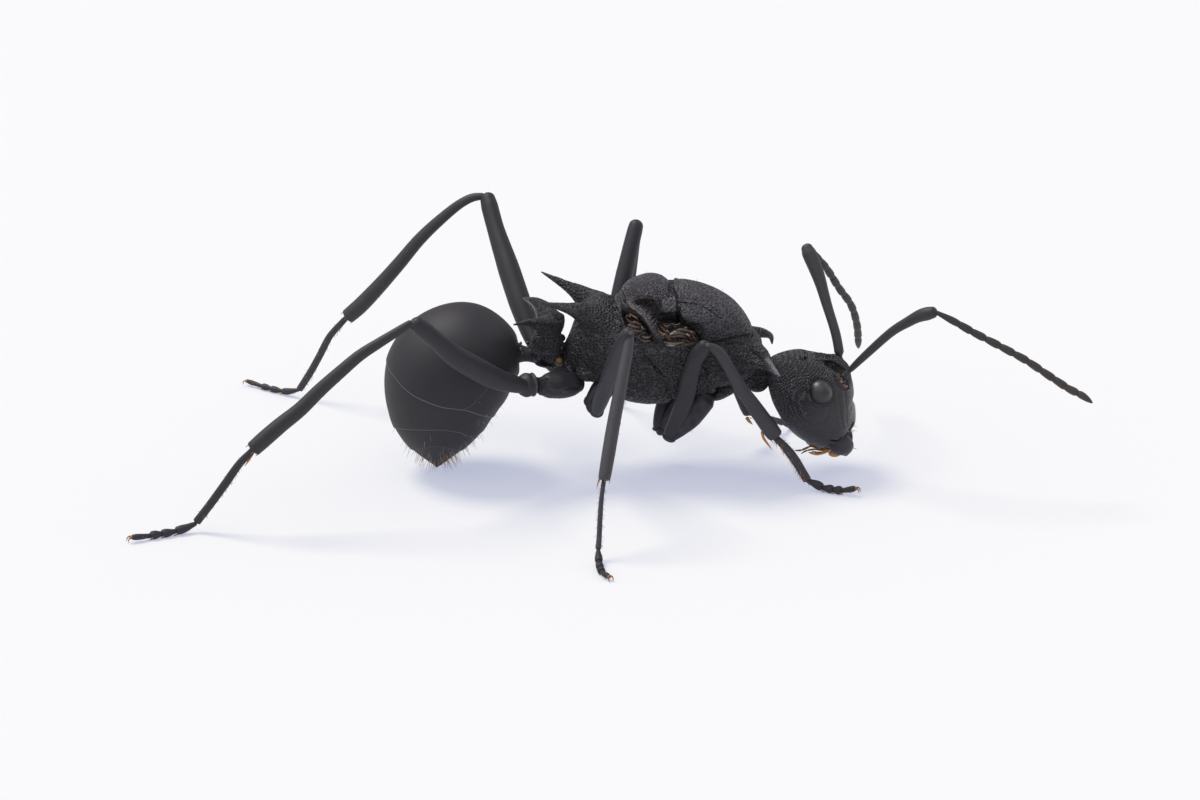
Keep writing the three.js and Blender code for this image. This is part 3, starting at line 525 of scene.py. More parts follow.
    # spur at the ankle
    an = np.array(q["tibia"][-1])
    if q["spur"]:
        sp = [from_view(*p) for p in q["spur"]]
    else:
        bd = unit(np.subtract(q["basi"][-1], q["basi"][0]))
        sd = unit(np.cross(bd, [0, 0, 1.0]))
        sp = [an + sd * 0.1, an + sd * 0.14 + bd * 0.12, an + sd * 0.11 + bd * 0.26]
    b.add(*tube(sp, [(0, q["spur_r"]), (0.5, q["spur_r"] * 0.8), (1, q["spur_r"] * 0.15)], n=10, m=14, ends=(0.5, 0.8)), AMBER)
    for s_ in np.linspace(0.1, 1.0, 5):
        th = 2 * math.pi * s_ + 0.6
        bd = unit(np.subtract(q["basi"][1], q["basi"][0]))
        u = unit(np.cross(bd, [0.3, 0.2, 1.0]))
        w = np.cross(bd, u)
        p = an + (u * math.cos(th) + w * math.sin(th)) * q["tibia_r"][-1][1] * 0.8
        b.add(*thorn([p, p + bd * 0.05 + (u * math.cos(th) + w * math.sin(th)) * 0.015, p + bd * 0.11], 0.012, n=6, m=6), RUST * 1.6)
    o = b.make("leg_" + name, M_LEG)
    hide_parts(*[k + "_" + name for k in ("coxa", "femur", "tibia", "basitarsus", "tarsus")])
    return o


for name, q in LEGS.items():
    leg(name, q)

# ------------------------------------------------------------------ feelers

FEELERS = {
    "right": dict(
        scape=[(5.80, -0.44, 2.56), (5.90, -0.46, 2.70), (6.378, -0.708, 3.296), (6.899, -1.002, 3.90), (7.216, -1.169, 4.170), (7.511, -1.311, 4.388), (7.80, -1.44, 4.515)],
        lash=[(7.88, -1.47, 4.53), (8.323, -1.532, 4.31), (8.723, -1.588, 4.09), (9.146, -1.646, 3.878), (9.593, -1.708, 3.651), (10.017, -1.767, 3.423), (10.441, -1.829, 3.146), (10.749, -1.875, 2.945), (11.008, -1.913, 2.78), (11.314, -1.954, 2.63), (11.60, -2.0, 2.43)]),
    "left": dict(
        scape=[(5.74, 0.42, 2.58), (5.715, 0.44, 2.74), (5.623, 0.626, 3.226), (5.412, 0.96, 3.867), (5.201, 1.293, 4.509), (4.940, 1.585, 5.085)],
        lash=[(4.995, 1.61, 5.09), (5.193, 1.882, 4.763), (5.449, 2.241, 4.337), (5.765, 2.758, 3.677), (6.08, 3.236, 3.077), (6.253, 3.716, 2.395), (6.325, 4.30, 1.56)]),
}

for side, q in FEELERS.items():
    b = Build()
    s = q["scape"]
    near_base = 0.115 if side == "left" else 0.075
    b.add(*tube(s, [(0, 0.060), (0.03, 0.075), (0.055, 0.058), (0.10, near_base), (0.35, max(near_base, 0.100)), (0.6, 0.108 if side == "right" else 0.132), (0.82, 0.132 if side == "right" else 0.168), (0.95, 0.160 if side == "right" else 0.176), (1, 0.14)], n=24, m=90, ends=(0.9, 0.8)), FEELER * (1.0 if side == "right" else 1.5))
    b.add(*ball(np.array(s[0]), np.array([0.085, 0.085, 0.085]), n=18, m=10), FEELER * 0.7)
    o = b.make("scape_" + side, M_LEG)
    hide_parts("scape_" + side)
    b = Build()
    c = trace(q["lash"], 221)
    cuts = np.r_[0, np.cumsum([0.135, 0.085, 0.088, 0.088, 0.088, 0.086, 0.084, 0.082, 0.080, 0.080, 0.104])]
    cuts = cuts / cuts[-1]
    for i in range(11):
        a, z = int(round(cuts[i] * 220)), int(round(cuts[i + 1] * 220))
        seg = c[a:z + 1]
        k = i / 10
        if i == 0:
            rr = [(0, 0.048), (0.25, 0.062), (0.8, 0.088), (1, 0.080)]
        elif i == 10:
            rr = [(0, 0.074), (0.2, 0.088), (0.6, 0.072), (0.9, 0.038), (1, 0.024)]
        else:
            rr = [(0, 0.070), (0.2, 0.086), (0.8, 0.096), (1, 0.080)]
        col = FEELER * (1.0 + 0.35 * k) + np.array([0.012, 0.004, 0.0]) * k
        b.add(*tube(seg[::max(1, len(seg) // 6)], rr, n=20, m=16, ends=(0.45, 0.45)), col)
    b.add(*ball(c[0] - unit(c[2] - c[0]) * 0.03, (0.05, 0.05, 0.05), n=12, m=8), RUST * 0.8)
    o = b.make("funiculus_" + side, M_LEG)
    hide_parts("funiculus_" + side)

# ------------------------------------------------------------------ gaster

GASTER_ROWS = np.array([
    (-1.915, 2.95, 0.12, 0.12, 0.13, 0),
    (-1.955, 2.97, 0.36, 0.36, 0.40, 4),
    (-2.04, 3.02, 0.58, 0.56, 0.62, 8),
    (-2.48, 3.08, 1.10, 1.02, 1.14, 20),
    (-3.04, 2.93, 1.42, 1.32, 1.42, 37),
    (-3.53, 2.54, 1.52, 1.42, 1.52, 54),
    (-3.79, 2.04, 1.42, 1.38, 1.46, 67),
    (-3.88, 1.53, 1.25, 1.22, 1.28, 76),
    (-3.90, 1.06, 1.00, 1.00, 1.03, 84),
    (-3.90, 0.62, 0.62, 0.62, 0.62, 88),
    (-3.88, 0.17, 0.10, 0.10, 0.10, 90),
])


def gaster_surface(m, n):
    t = np.linspace(0, 1, m)
    t = t + 0.03 * np.sin(2 * math.pi * t) / (2 * math.pi)
    R = spline(GASTER_ROWS, t)
    x, z, up, dn, half, lean = R.T
    lean = np.radians(lean)
    th = np.arange(n) * 2 * math.pi / n
    c, s = np.cos(th)[None], np.sin(th)[None]
    reach = np.where(c > 0, up[:, None], dn[:, None])
    # blend the two half ovals where they meet
    w = smooth(-0.5, 0.5, c)
    reach = up[:, None] * w + dn[:, None] * (1 - w)
    h = c * reach
    y = s * half[:, None]
    X = x[:, None] - np.sin(lean)[:, None] * h
    Z = z[:, None] + np.cos(lean)[:, None] * h
    return np.stack([X, y, Z], -1)


# Rear edges of the plates, as the camera sees them on the near side (the far side is its mirror image).
EDGES = [
    [(388, 366), (395, 377), (403, 387), (414, 396), (428, 402.5), (442, 407), (456, 409), (468, 411), (482, 415.5), (494, 417.5)],
    [(393.5, 427.5), (402, 429), (414, 430), (430, 430), (446, 430.2), (458, 432), (468, 436)],
    [(413, 449.5), (425, 448), (437, 446.5), (450, 448), (458, 451)],
]
CORNER = [(463, 409.5), (470, 406), (478, 399), (486, 390), (494, 380)]     # side margin of the first plate


def to_view(P):
    """Where the camera sees points, in px of a 1200 by 800 frame."""
    e = PITCH
    y, z = P[..., 1], P[..., 2] - 1.806
    d = y * math.cos(e) - z * math.sin(e)
    k = 42.0 / (1 + d / 150.0)
    return np.stack([600 + P[..., 0] * k, 400 - (z * math.cos(e) + y * math.sin(e)) * k], -1)


def edge_rows(P, N, pts):
    """Row number of a plate's edge for every angle round the body."""
    m, n = P.shape[:2]
    V = to_view(P)
    eye = np.array([0, -math.cos(PITCH), math.sin(PITCH)])
    hidden = (N @ eye < 0.02) | (P[..., 1] > 0)
    at, rows_ = [], []
    for q in pts:
        d = ((V - np.array(q)) ** 2).sum(-1) + hidden * 1e6
        i, j = np.unravel_index(np.argmin(d), d.shape)
        a = j * 2 * math.pi / n
        at.append(2 * math.pi - a if a > math.pi else a)
        rows_.append(i)
    o = np.argsort(at)
    at, rows_ = np.array(at)[o], np.array(rows_, float)[o]
    keep = np.r_[True, np.diff(at) > 0.02]
    at, rows_ = at[keep], rows_[keep]
    at = np.r_[0.0, at, math.pi]
    rows_ = np.r_[rows_[0] + (rows_[0] - rows_[1]) * 0.15, rows_, rows_[-1] + (rows_[-1] - rows_[-2]) * 0.2]
    th = np.arange(n) * 2 * math.pi / n
    th = np.minimum(th, 2 * math.pi - th)
    return pchip(at, rows_, th)


def gaster():
    m, n = ((420, 400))
    P = gaster_surface(m, n)
    N = np.cross(np.roll(P, -1, 1) - np.roll(P, 1, 1), np.gradient(P, axis=0))
    N = unit(N)
    ctr = P.mean(1, keepdims=True)
    if ((P - ctr) * N).sum() < 0:
        N = -N
    col = np.broadcast_to(BLACK * 1.15, P.shape).copy()
    lift = np.zeros(P.shape[:2])
    step = np.linalg.norm(np.gradient(P, axis=0), axis=-1)
    for i, e in enumerate(EDGES):
        d = (np.arange(m)[:, None] - edge_rows(P, N, e)[None]) * step
        side = smooth(0.012, -0.012, d)
        lift += side * 0.018 * smooth(0.5, 0.0, -d) + side * 0.004
        lift -= 0.006 * np.exp(-((d - 0.018) / 0.012) ** 2)
        line = np.exp(-((d + 0.006) / 0.012) ** 2) * [1.0, 0.9, 0.75][i]
        col += (np.array([0.20, 0.20, 0.205]) - col) * (line * 0.85)[..., None]
    V = to_view(P)
    c = trace([(a, 0, b) for a, b in CORNER], 30)
    d = np.sqrt(((V[:, :, None, 0] - c[None, None, :, 0]) ** 2 + (V[:, :, None, 1] - c[None, None, :, 2]) ** 2).min(-1)) / 42.0
    facing = N @ np.array([0, -math.cos(PITCH), math.sin(PITCH)]) > 0
    d = np.where(facing & (P[..., 1] < 0), d, 9)
    d = np.minimum(d, np.roll(d[:, ::-1], 1, 1))
    lift -= 0.008 * np.exp(-(d / 0.014) ** 2)
    col += (np.array([0.12, 0.12, 0.125]) - col) * (np.exp(-(d / 0.011) ** 2) * 0.6)[..., None]
    P = P + N * lift[..., None]
    v, f = rings_to_mesh(P, P[0].mean(0), P[-1].mean(0) + [0, 0, -0.03])
    c = np.vstack([col.reshape(-1, 3), col[0, :1], col[-1, :1]])
    b = Build()
    b.add(v, f, c)
    # the closed tip
    tip = [from_view(x, y, w) for x, y, w in [(437, 457, -0.04), (437, 462, -0.02), (436.8, 467.0, 0.0)]]
    b.add(*tube(tip, [(0, 0.26), (0.45, 0.16), (0.8, 0.07), (1, 0.018)], n=36, m=30, ends=(0.3, 0.8)), BLACK * 1.15)
    # dark waist joint between petiole and gaster
    b.add(*tube([(-1.52, 0, 2.98), (-1.74, 0, 2.97), (-2.02, 0, 2.99)], [(0, 0.24), (0.45, 0.185), (0.75, 0.22), (1, 0.30)], n=24, m=12, ends=(0.4, 0.3)), BLACK * 1.6)
    o = b.make("gaster", M_GASTER)
    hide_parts("gaster_1", "gaster_2", "gaster_3", "gaster_4")
    return P, N


GP, GN = gaster()

# ------------------------------------------------------------------ solids from distances

class Grid:
    """Evenly spaced points of a box, in millimetres."""

    def __init__(self, lo, hi, step):
        self.lo, self.step = np.asarray(lo, float), step
        n = np.ceil((np.asarray(hi, float) - self.lo) / step).astype(int) + 1
        ax = [(self.lo[k] + np.arange(n[k]) * step).astype(np.float32) for k in range(3)]
        self.ax = ax
        self.x, self.y, self.z = ax[0][:, None, None], ax[1][None, :, None], ax[2][None, None, :]

    def part(self, lo, hi):
        """The piece of the box between two corners."""
        s = []
        for k in range(3):
            i0 = int(np.clip(np.floor((lo[k] - self.lo[k]) / self.step), 0, len(self.ax[k]) - 1))
            i1 = int(np.clip(np.ceil((hi[k] - self.lo[k]) / self.step) + 1, 1, len(self.ax[k])))
            s.append(slice(i0, max(i1, i0 + 1)))
        s = tuple(s)
        return s, self.x[s[0]], self.y[:, s[1]], self.z[:, :, s[2]]


def smin(a, b, k):
    h = np.maximum(k - np.abs(a - b), 0) / k
    return np.minimum(a, b) - h * h * k * 0.25


def smax(a, b, k):
    return -smin(-a, -b, k)


def loft(g, rows, n, soft=0.10):
    """Body with oval sections across x. rows: x, top, bottom, half width."""
    r = np.asarray(rows, float)
    if r[0, 0] > r[-1, 0]:
        r = r[::-1]
    s = spline(r, np.linspace(0, 1, 600))
    top, bot, half = (np.interp(g.ax[0], s[:, 0], s[:, k])[:, None, None].astype(np.float32) for k in (1, 2, 3))
    c, a = (top + bot) / 2, (top - bot) / 2
    dz = g.z - c
    q = ((np.abs(g.y) / half) ** n + (np.abs(dz) / a) ** n) ** (1.0 / n)
    d = np.sqrt(g.y ** 2 + dz ** 2) * (1 - 1 / np.maximum(q, 1e-3))
    return smax(d, np.maximum(s[0, 0] - g.x, g.x - s[-1, 0]) + 0 * d, soft)


def put(F, s, d, k, carve):
    F[s] = smax(F[s], -d, k) if carve else smin(F[s], d, k)


def rod(g, F, path, radii, k=0.03, carve=False, n=24, flat=None):
    """Joins (or cuts) a round rod. radii: (s, r) pairs or one number."""
    c = trace(path, n)
    if np.isscalar(radii):
        radii = [(0, radii), (1, radii)]
    rr = pchip(*zip(*radii), np.linspace(0, 1, n))
    m = rr.max() + k + 0.12
    s, x, y, z = g.part(c.min(0) - m, c.max(0) + m)
    d = None
    for a, b, ra, rb in zip(c[:-1], c[1:], rr[:-1], rr[1:]):
        ab = b - a
        t = np.clip(((x - a[0]) * ab[0] + (y - a[1]) * ab[1] + (z - a[2]) * ab[2]) / max(ab.dot(ab), 1e-9), 0, 1)
        e = np.sqrt((x - a[0] - t * ab[0]) ** 2 + (y - a[1] - t * ab[1]) ** 2 + (z - a[2] - t * ab[2]) ** 2) - (ra + (rb - ra) * t)
        d = e if d is None else np.minimum(d, e)
    put(F, s, d.astype(np.float32), k, carve)


def egg(g, F, centre, radii, k=0.04, carve=False, turn=0.0):
    """Joins (or cuts) an oval body, turned about Y by some degrees."""
    c, r = np.asarray(centre, float), np.asarray(radii, float)
    m = r.max() + k + 0.1
    s, x, y, z = g.part(c - m, c + m)
    ca, sa = math.cos(math.radians(turn)), math.sin(math.radians(turn))
    u = (x - c[0]) * ca + (z - c[2]) * sa
    w = -(x - c[0]) * sa + (z - c[2]) * ca
    v = y - c[1] + 0 * u
    k0 = np.sqrt((u / r[0]) ** 2 + (v / r[1]) ** 2 + (w / r[2]) ** 2)
    k1 = np.sqrt((u / r[0] ** 2) ** 2 + (v / r[1] ** 2) ** 2 + (w / r[2] ** 2) ** 2)
    put(F, s, (k0 * (k0 - 1) / np.maximum(k1, 1e-6)).astype(np.float32), k, carve)


def block(g, F, centre, half, rounding, k=0.03, carve=False, turn=0.0):
    """Joins (or cuts) a box with round edges, turned about Y by some degrees."""
    c, h = np.asarray(centre, float), np.asarray(half, float) - rounding
    m = np.linalg.norm(h) + rounding + k + 0.1
    s, x, y, z = g.part(c - m, c + m)
    ca, sa = math.cos(math.radians(turn)), math.sin(math.radians(turn))
    u = np.abs((x - c[0]) * ca + (z - c[2]) * sa) - h[0]
    w = np.abs(-(x - c[0]) * sa + (z - c[2]) * ca) - h[2]
    v = np.abs(y - c[1]) - h[1] + 0 * u
    d = np.sqrt(np.maximum(u, 0) ** 2 + np.maximum(v, 0) ** 2 + np.maximum(w, 0) ** 2) + np.minimum(np.maximum(np.maximum(u, v), w), 0) - rounding
    put(F, s, d.astype(np.float32), k, carve)


def line_distance(px, pz, path):
    d = None
    c = trace([(p[0], 0, p[1]) for p in path], max(2, 8 * (len(path) - 1)) if len(path) > 2 else 2)
    for a, b in zip(c[:-1], c[1:]):
        ab = b - a
        t = np.clip(((px - a[0]) * ab[0] + (pz - a[2]) * ab[2]) / max(ab.dot(ab), 1e-9), 0, 1)
        e = np.sqrt((px - a[0] - t * ab[0]) ** 2 + (pz - a[2] - t * ab[2]) ** 2)
        d = e if d is None else np.minimum(d, e)
    return d


def crease(g, F, path, width, depth, near=None, soft=0.08):
    """A furrow (or, with negative depth, a ridge) drawn in the side view.
    near: (y0, y1) limits it to part of the width."""
    d = line_distance(g.x, g.z, path)
    k = depth * np.exp(-(d / width) ** 2)
    if near:
        k = k * smooth(near[0] - soft, near[0], g.y) * (1 - smooth(near[1], near[1] + soft, g.y))
    F += k.astype(np.float32)


def surface(F, lo, step):
    """Quads around the cells where the distance changes sign."""
    inside = F < 0
    cnt = np.zeros(tuple(np.array(F.shape) - 1), np.uint8)
    nx, ny, nz = F.shape
    for i in (0, 1):
        for j in (0, 1):
            for k in (0, 1):
                cnt += inside[i:nx - 1 + i, j:ny - 1 + j, k:nz - 1 + k]
    act = (cnt > 0) & (cnt < 8)
    cells = np.argwhere(act)
    idx = np.full(cnt.shape, -1, np.int64)
    idx[act] = np.arange(len(cells))
    P = np.zeros((len(cells), 3))
    W = np.zeros(len(cells))
    corner = {}
    for i in (0, 1):
        for j in (0, 1):
            for k in (0, 1):
                corner[i, j, k] = F[cells[:, 0] + i, cells[:, 1] + j, cells[:, 2] + k].astype(float)
    for a in corner:
        for ax in range(3):
            if a[ax]:
                continue
            b = tuple(1 if q == ax else a[q] for q in range(3))
            fa, fb = corner[a], corner[b]
            cross = (fa < 0) != (fb < 0)
            t = np.where(cross, fa / np.where(cross, fa - fb, 1), 0)
            pos = np.array(a, float)[None].repeat(len(cells), 0)
            pos[:, ax] = t
            P += pos * cross[:, None]
            W += cross
    v = lo + (cells + P / W[:, None]) * step
    quads = []
    for ax in range(3):
        o = [q for q in range(3) if q != ax]
        sa = [slice(0, -1)] * 3
        sb = [slice(1, None) if q == ax else slice(0, -1) for q in range(3)]
        for q in o:
            sa[q] = slice(1, -1)
            sb[q] = slice(1, -1)
        A, B = inside[tuple(sa)], inside[tuple(sb)]
        e = np.argwhere(A != B)
        base = e.copy()
        for q in o:
            base[:, q] += 1
        def cell(du, dv):
            c = base.copy()
            c[:, o[0]] -= du
            c[:, o[1]] -= dv
            return idx[c[:, 0], c[:, 1], c[:, 2]]
        f = np.stack([cell(1, 1), cell(0, 1), cell(0, 0), cell(1, 0)], 1)
        flip = A[tuple(e.T)]
        if ax == 1:
            flip = ~flip
        f[~flip] = f[~flip][:, ::-1]
        quads.append(f)
    return v, np.vstack(quads)


def normals(v, f):
    n = np.cross(v[f[:, 2]] - v[f[:, 0]], v[f[:, 3]] - v[f[:, 1]])
    out = np.zeros_like(v)
    for k in range(4):
        for q in range(3):
            out[:, q] += np.bincount(f[:, k], n[:, q], len(v))
    return unit(out)


def relax(v, f, rounds=1, amount=0.5):
    """Evens the points out a little, so no grid steps show."""
    deg = np.zeros(len(v))
    for k in range(4):
        deg += np.bincount(f[:, k], minlength=len(v)) * 2
    for _ in range(rounds):
        s = np.zeros_like(v)
        for k in range(4):
            for j in (1, 3):
                w = v[f[:, (k + j) % 4]]
                for q in range(3):
                    s[:, q] += np.bincount(f[:, k], w[:, q], len(v))
        v = v + (s / deg[:, None] - v) * amount
    return v


def scatter(i, seed):
    """Repeatable pseudo-random numbers in 0..1 for whole-number points."""
    h = (i[..., 0] * 73856093) ^ (i[..., 1] * 19349663) ^ (i[..., 2] * 83492791) ^ (seed * 2654435761)
    h = h & 0xFFFFFFFF
    h = ((h ^ (h >> 15)) * 2246822519) & 0xFFFFFFFF
    h = ((h ^ (h >> 13)) * 3266489917) & 0xFFFFFFFF
    return ((h ^ (h >> 16)) & 0xFFFFFF) / float(0x1000000)


def net(p, size, seed=1, loose=0.9):
    """Height of a net of fine ribs: 0 in the middle of a pit, 1 on a rib."""
    q = np.asarray(p) / size
    i = np.floor(q).astype(np.int64)
    d1 = np.full(len(q), 9.0)
    d2 = np.full(len(q), 9.0)
    for a in (-1, 0, 1):
        for b in (-1, 0, 1):
            for c in (-1, 0, 1):
                k = i + [a, b, c]
                pt = k + 0.45 + (np.stack([scatter(k, seed + s) for s in (0, 11, 23)], -1) - 0.5) * loose
                d = ((q - pt) ** 2).sum(1)
                far = np.maximum(d, d1)
                d1 = np.minimum(d, d1)
                d2 = np.minimum(far, d2)
    return 1 - np.clip((np.sqrt(d2) - np.sqrt(d1)) / 0.45, 0, 1)


def noise(p, size, seed=3):
    """Smooth noise, about -1..1."""
    q = np.asarray(p) / size
    i = np.floor(q).astype(np.int64)
    f = q - i
    f = f * f * (3 - 2 * f)
    out = np.zeros(len(q))
    for a in (0, 1):
        for b in (0, 1):
            for c in (0, 1):
                w = np.where(a, f[:, 0], 1 - f[:, 0]) * np.where(b, f[:, 1], 1 - f[:, 1]) * np.where(c, f[:, 2], 1 - f[:, 2])
                out += w * scatter(i + [a, b, c], seed)
    return out * 2 - 1


def spots(col, v, marks):
    """Soft coloured marks: (point, radius, colour, strength), on both sides of the body."""
    a = v.copy()
    a[:, 1] = np.abs(a[:, 1])
    for p, r, c, k in marks:
        p = np.array([p[0], abs(p[1]), p[2]])
        d = np.linalg.norm((a - p) / np.broadcast_to(np.asarray(r, float), 3), axis=1)
        w = np.exp(-d ** 2 * 1.2) * k
        col += (np.asarray(c) - col) * w[:, None]
    return col


def lines(v, n, col, marks):
    """Furrows and raised edges drawn as lines in the picture plane of the near side, the same on the
    far side: (points, width in frame pixels, depth in mm or minus height, factor or colour).
    A factor below one darkens a furrow as painted shade, a factor above one brightens a raised edge
    as a painted highlight. A fifth entry says the line is on the far side only."""
    a, m = v.copy(), n.copy()
    m[:, 1] *= -np.sign(a[:, 1] + 1e-9)
    a[:, 1] = -np.abs(a[:, 1])
    px0, py0 = to_view(a).T
    face0 = smooth(-0.05, 0.15, -m[:, 1] * math.cos(PITCH) + m[:, 2] * math.sin(PITCH))
    px1, py1 = to_view(v).T
    face1 = smooth(-0.05, 0.15, -n[:, 1] * math.cos(PITCH) + n[:, 2] * math.sin(PITCH)) * (v[:, 1] > 0.1)
    for pts, width, depth, tone, *far in marks:
        px, py, face = (px1, py1, face1) if far else (px0, py0, face0)
        pts = [tuple(q_) for q_ in pts]
        if len(pts) == 1:
            pts = pts + [(pts[0][0] + 0.3, pts[0][1])]
        pl = trace([(x, 0, y) for x, y in pts], 6 * (len(pts) - 1)) if len(pts) > 2 else np.array([(x, 0, y) for x, y in pts], float)
        near = (px > pl[:, 0].min() - 3 * width) & (px < pl[:, 0].max() + 3 * width) & (py > pl[:, 2].min() - 3 * width) & (py < pl[:, 2].max() + 3 * width)
        i = np.nonzero(near)[0]
        d = np.full(len(i), 99.0)
        for p, q_ in zip(pl[:-1], pl[1:]):
            u = q_ - p
            t = np.clip(((px[i] - p[0]) * u[0] + (py[i] - p[2]) * u[2]) / max(u.dot(u), 1e-9), 0, 1)
            d = np.minimum(d, np.hypot(px[i] - p[0] - t * u[0], py[i] - p[2] - t * u[2]))
        w = np.exp(-(d / width) ** 2) * face[i]
        v[i] -= n[i] * (depth * w)[:, None]
        to = np.asarray(tone, float)
        col[i] += ((col[i] * to if to.ndim == 0 else to) - col[i]) * w[:, None]
    return v, col


# ------------------------------------------------------------------ trunk

STEP = 0.0165


def mirrored(F):
    """The other side of a half field whose first layer is the midplane."""
    return np.concatenate([F[:, :0:-1], F], axis=1)


def trunk():
    g = Grid((-1.75, 0.0, 1.55), (4.60, 1.62, 5.20), STEP)
    propodeum = loft(g, [(-0.90, 3.14, 2.82, 0.18), (-0.72, 3.46, 2.60, 0.48), (-0.52, 3.98, 2.44, 0.66), (-0.16, 4.40, 2.34, 0.86), (0.18, 4.38, 2.20, 0.95), (0.55, 4.30, 2.02, 1.02)], 2.6)
    pleuron = loft(g, [(-0.10, 4.10, 2.30, 0.90), (0.35, 4.05, 2.02, 1.00), (0.80, 4.10, 1.86, 1.08), (1.25, 4.15, 1.82, 1.10), (1.75, 4.15, 1.88, 1.08), (2.25, 4.10, 1.96, 1.04), (2.75, 4.00, 2.10, 1.00)], 2.5)
    pronotum = loft(g, [(2.05, 4.00, 2.20, 1.00), (2.50, 3.95, 2.22, 1.03), (2.95, 3.85, 2.28, 1.02), (3.35, 3.68, 2.40, 0.94), (3.66, 3.50, 2.58, 0.76), (3.86, 3.26, 2.78, 0.46)], 2.4)
    F = smin(smin(propodeum, pleuron, 0.05), pronotum, 0.04)
    del propodeum, pleuron, pronotum
    # furrow over the back between propodeum and scutellum, with a narrow raised band in it
    crease(g, F, [(0.36, 4.5), (0.36, 4.1)], 0.05, 0.05)
    rod(g, F, [(0.40, 0.0, 4.36), (0.42, 0.25, 4.33), (0.46, 0.55, 4.23), (0.52, 0.78, 4.07), (0.60, 0.94, 3.86), (0.64, 1.00, 3.66)], 0.05, k=0.02)
    rod(g, F, [(0.30, 0.0, 4.44), (0.32, 0.30, 4.40), (0.36, 0.62, 4.27), (0.42, 0.84, 4.08), (0.50, 0.99, 3.86), (0.53, 1.05, 3.66)], 0.028, k=0.03, carve=True)
    crease(g, F, [(0.53, 3.70), (0.42, 3.30), (0.30, 2.9), (0.05, 2.31)], 0.022, 0.018, near=(0.5, 2))
    # side of the chest: where the chest and the shoulder plates meet
    crease(g, F, [(2.36, 3.55), (2.50, 2.9), (2.56, 1.90)], 0.026, 0.030)
    crease(g, F, [(0.98, 3.35), (1.30, 3.02), (1.52, 2.70), (1.60, 2.40)], 0.036, 0.030, near=(0.6, 2))
    crease(g, F, [(1.60, 2.40), (1.72, 2.15), (1.86, 1.98)], 0.036, 0.026, near=(0.5, 2))
    # ledge above the side of the chest, under the wing bases
    rod(g, F, [(0.80, 1.00, 3.56), (1.15, 1.04, 3.60), (1.60, 1.05, 3.62), (2.02, 1.03, 3.60), (2.36, 0.98, 3.56)], [(0, 0.02), (0.15, 0.035), (0.85, 0.035), (1, 0.02)], k=0.08)
    # the scutum, a domed shield, lower edge cut off clean
    block(g, F, (1.70, 0.0, 4.18), (0.50, 0.56, 0.48), 0.14, 0.02)
    scutum = loft(g, [(1.60, 4.62, 3.45, 0.66), (1.70, 4.70, 3.38, 0.78), (1.88, 4.77, 3.30, 0.92), (2.30, 4.70, 3.20, 1.01), (2.72, 4.54, 3.16, 1.00), (3.12, 4.29, 3.16, 0.88), (3.42, 3.96, 3.18, 0.66), (3.62, 3.62, 3.26, 0.34)], 2.3, soft=0.06)
    scutum = smax(scutum, (3.53 + 0.02 * (g.x - 2.5)) - g.z + 0 * scutum, 0.06)
    scutum = smax(scutum, (g.x - 2.46) * -0.78 + (g.z - 3.55) * -0.62 + 0 * scutum, 0.06)
    F = smin(F, scutum, 0.012)
    rod(g, F, [(1.79, 0.0, 4.755), (1.79, 0.25, 4.74), (1.80, 0.42, 4.68)], 0.052, k=0.04)
    # parapsidal furrow and the fine edge lines of the shield
    crease(g, F, [(1.95, 4.60), (2.36, 4.53), (2.62, 4.42), (2.92, 4.18)], 0.026, 0.034, near=(0.66, 0.92), soft=0.05)
    crease(g, F, [(1.89, 4.60), (1.86, 4.30), (1.88, 4.15)], 0.022, 0.03, near=(0.66, 2), soft=0.05)
    # scutellum: a round cushion behind the shield
    scutellum = loft(g, [(0.42, 4.40, 4.10, 0.30), (0.52, 4.60, 4.05, 0.52), (0.72, 4.78, 4.02, 0.68), (0.98, 4.89, 4.00, 0.76), (1.24, 4.92, 4.00, 0.78), (1.48, 4.85, 4.00, 0.74), (1.68, 4.70, 4.00, 0.62)], 2.2, soft=0.12)
    F = smin(F, scutellum, 0.015)
    crease(g, F, [(1.685, 4.85), (1.67, 4.62), (1.68, 4.50)], 0.024, 0.020, near=(-1, 0.62), soft=0.10)
    crease(g, F, [(1.38, 4.72), (1.36, 4.50), (1.40, 4.33)], 0.020, 0.03, near=(0.60, 2), soft=0.05)
    # hollows below the cushion's edge
    egg(g, F, (0.98, 0.88, 4.48), (0.38, 0.30, 0.13), 0.02, carve=True, turn=6)
    egg(g, F, (1.26, 0.92, 4.34), (0.16, 0.26, 0.22), 0.02, carve=True)
    axilla = loft(g, [(1.20, 4.72, 3.30, 0.93), (1.60, 4.77, 3.30, 0.955), (2.10, 4.77, 3.30, 0.955)], 2.3)
    axilla = smax(axilla, np.maximum(np.abs(g.x - 1.645 + 0.12 * (4.5 - g.z)) - 0.225, 0.60 - g.y) + 0 * axilla, 0.10)
    axilla = smax(axilla, 4.31 - g.z + 0 * axilla, 0.08)
    F = smin(F, axilla, 0.010)
    block(g, F, (1.66, 1.06, 4.20), (0.26, 0.22, 0.10), 0.06, 0.03, carve=True)
    rod(g, F, [(0.96, 1.04, 4.44), (1.16, 1.04, 4.36), (1.32, 1.04, 4.22), (1.48, 1.06, 4.08)], [(0, 0.06), (0.4, 0.13), (1, 0.13)], k=0.03, carve=True)
    # the long pocket of the wing bases
    block(g, F, (1.48, 1.16, 3.87), (0.90, 0.26, 0.19), 0.10, 0.04, carve=True)
    egg(g, F, (2.28, 1.08, 3.92), (0.22, 0.20, 0.16), 0.05, carve=True, turn=-40)
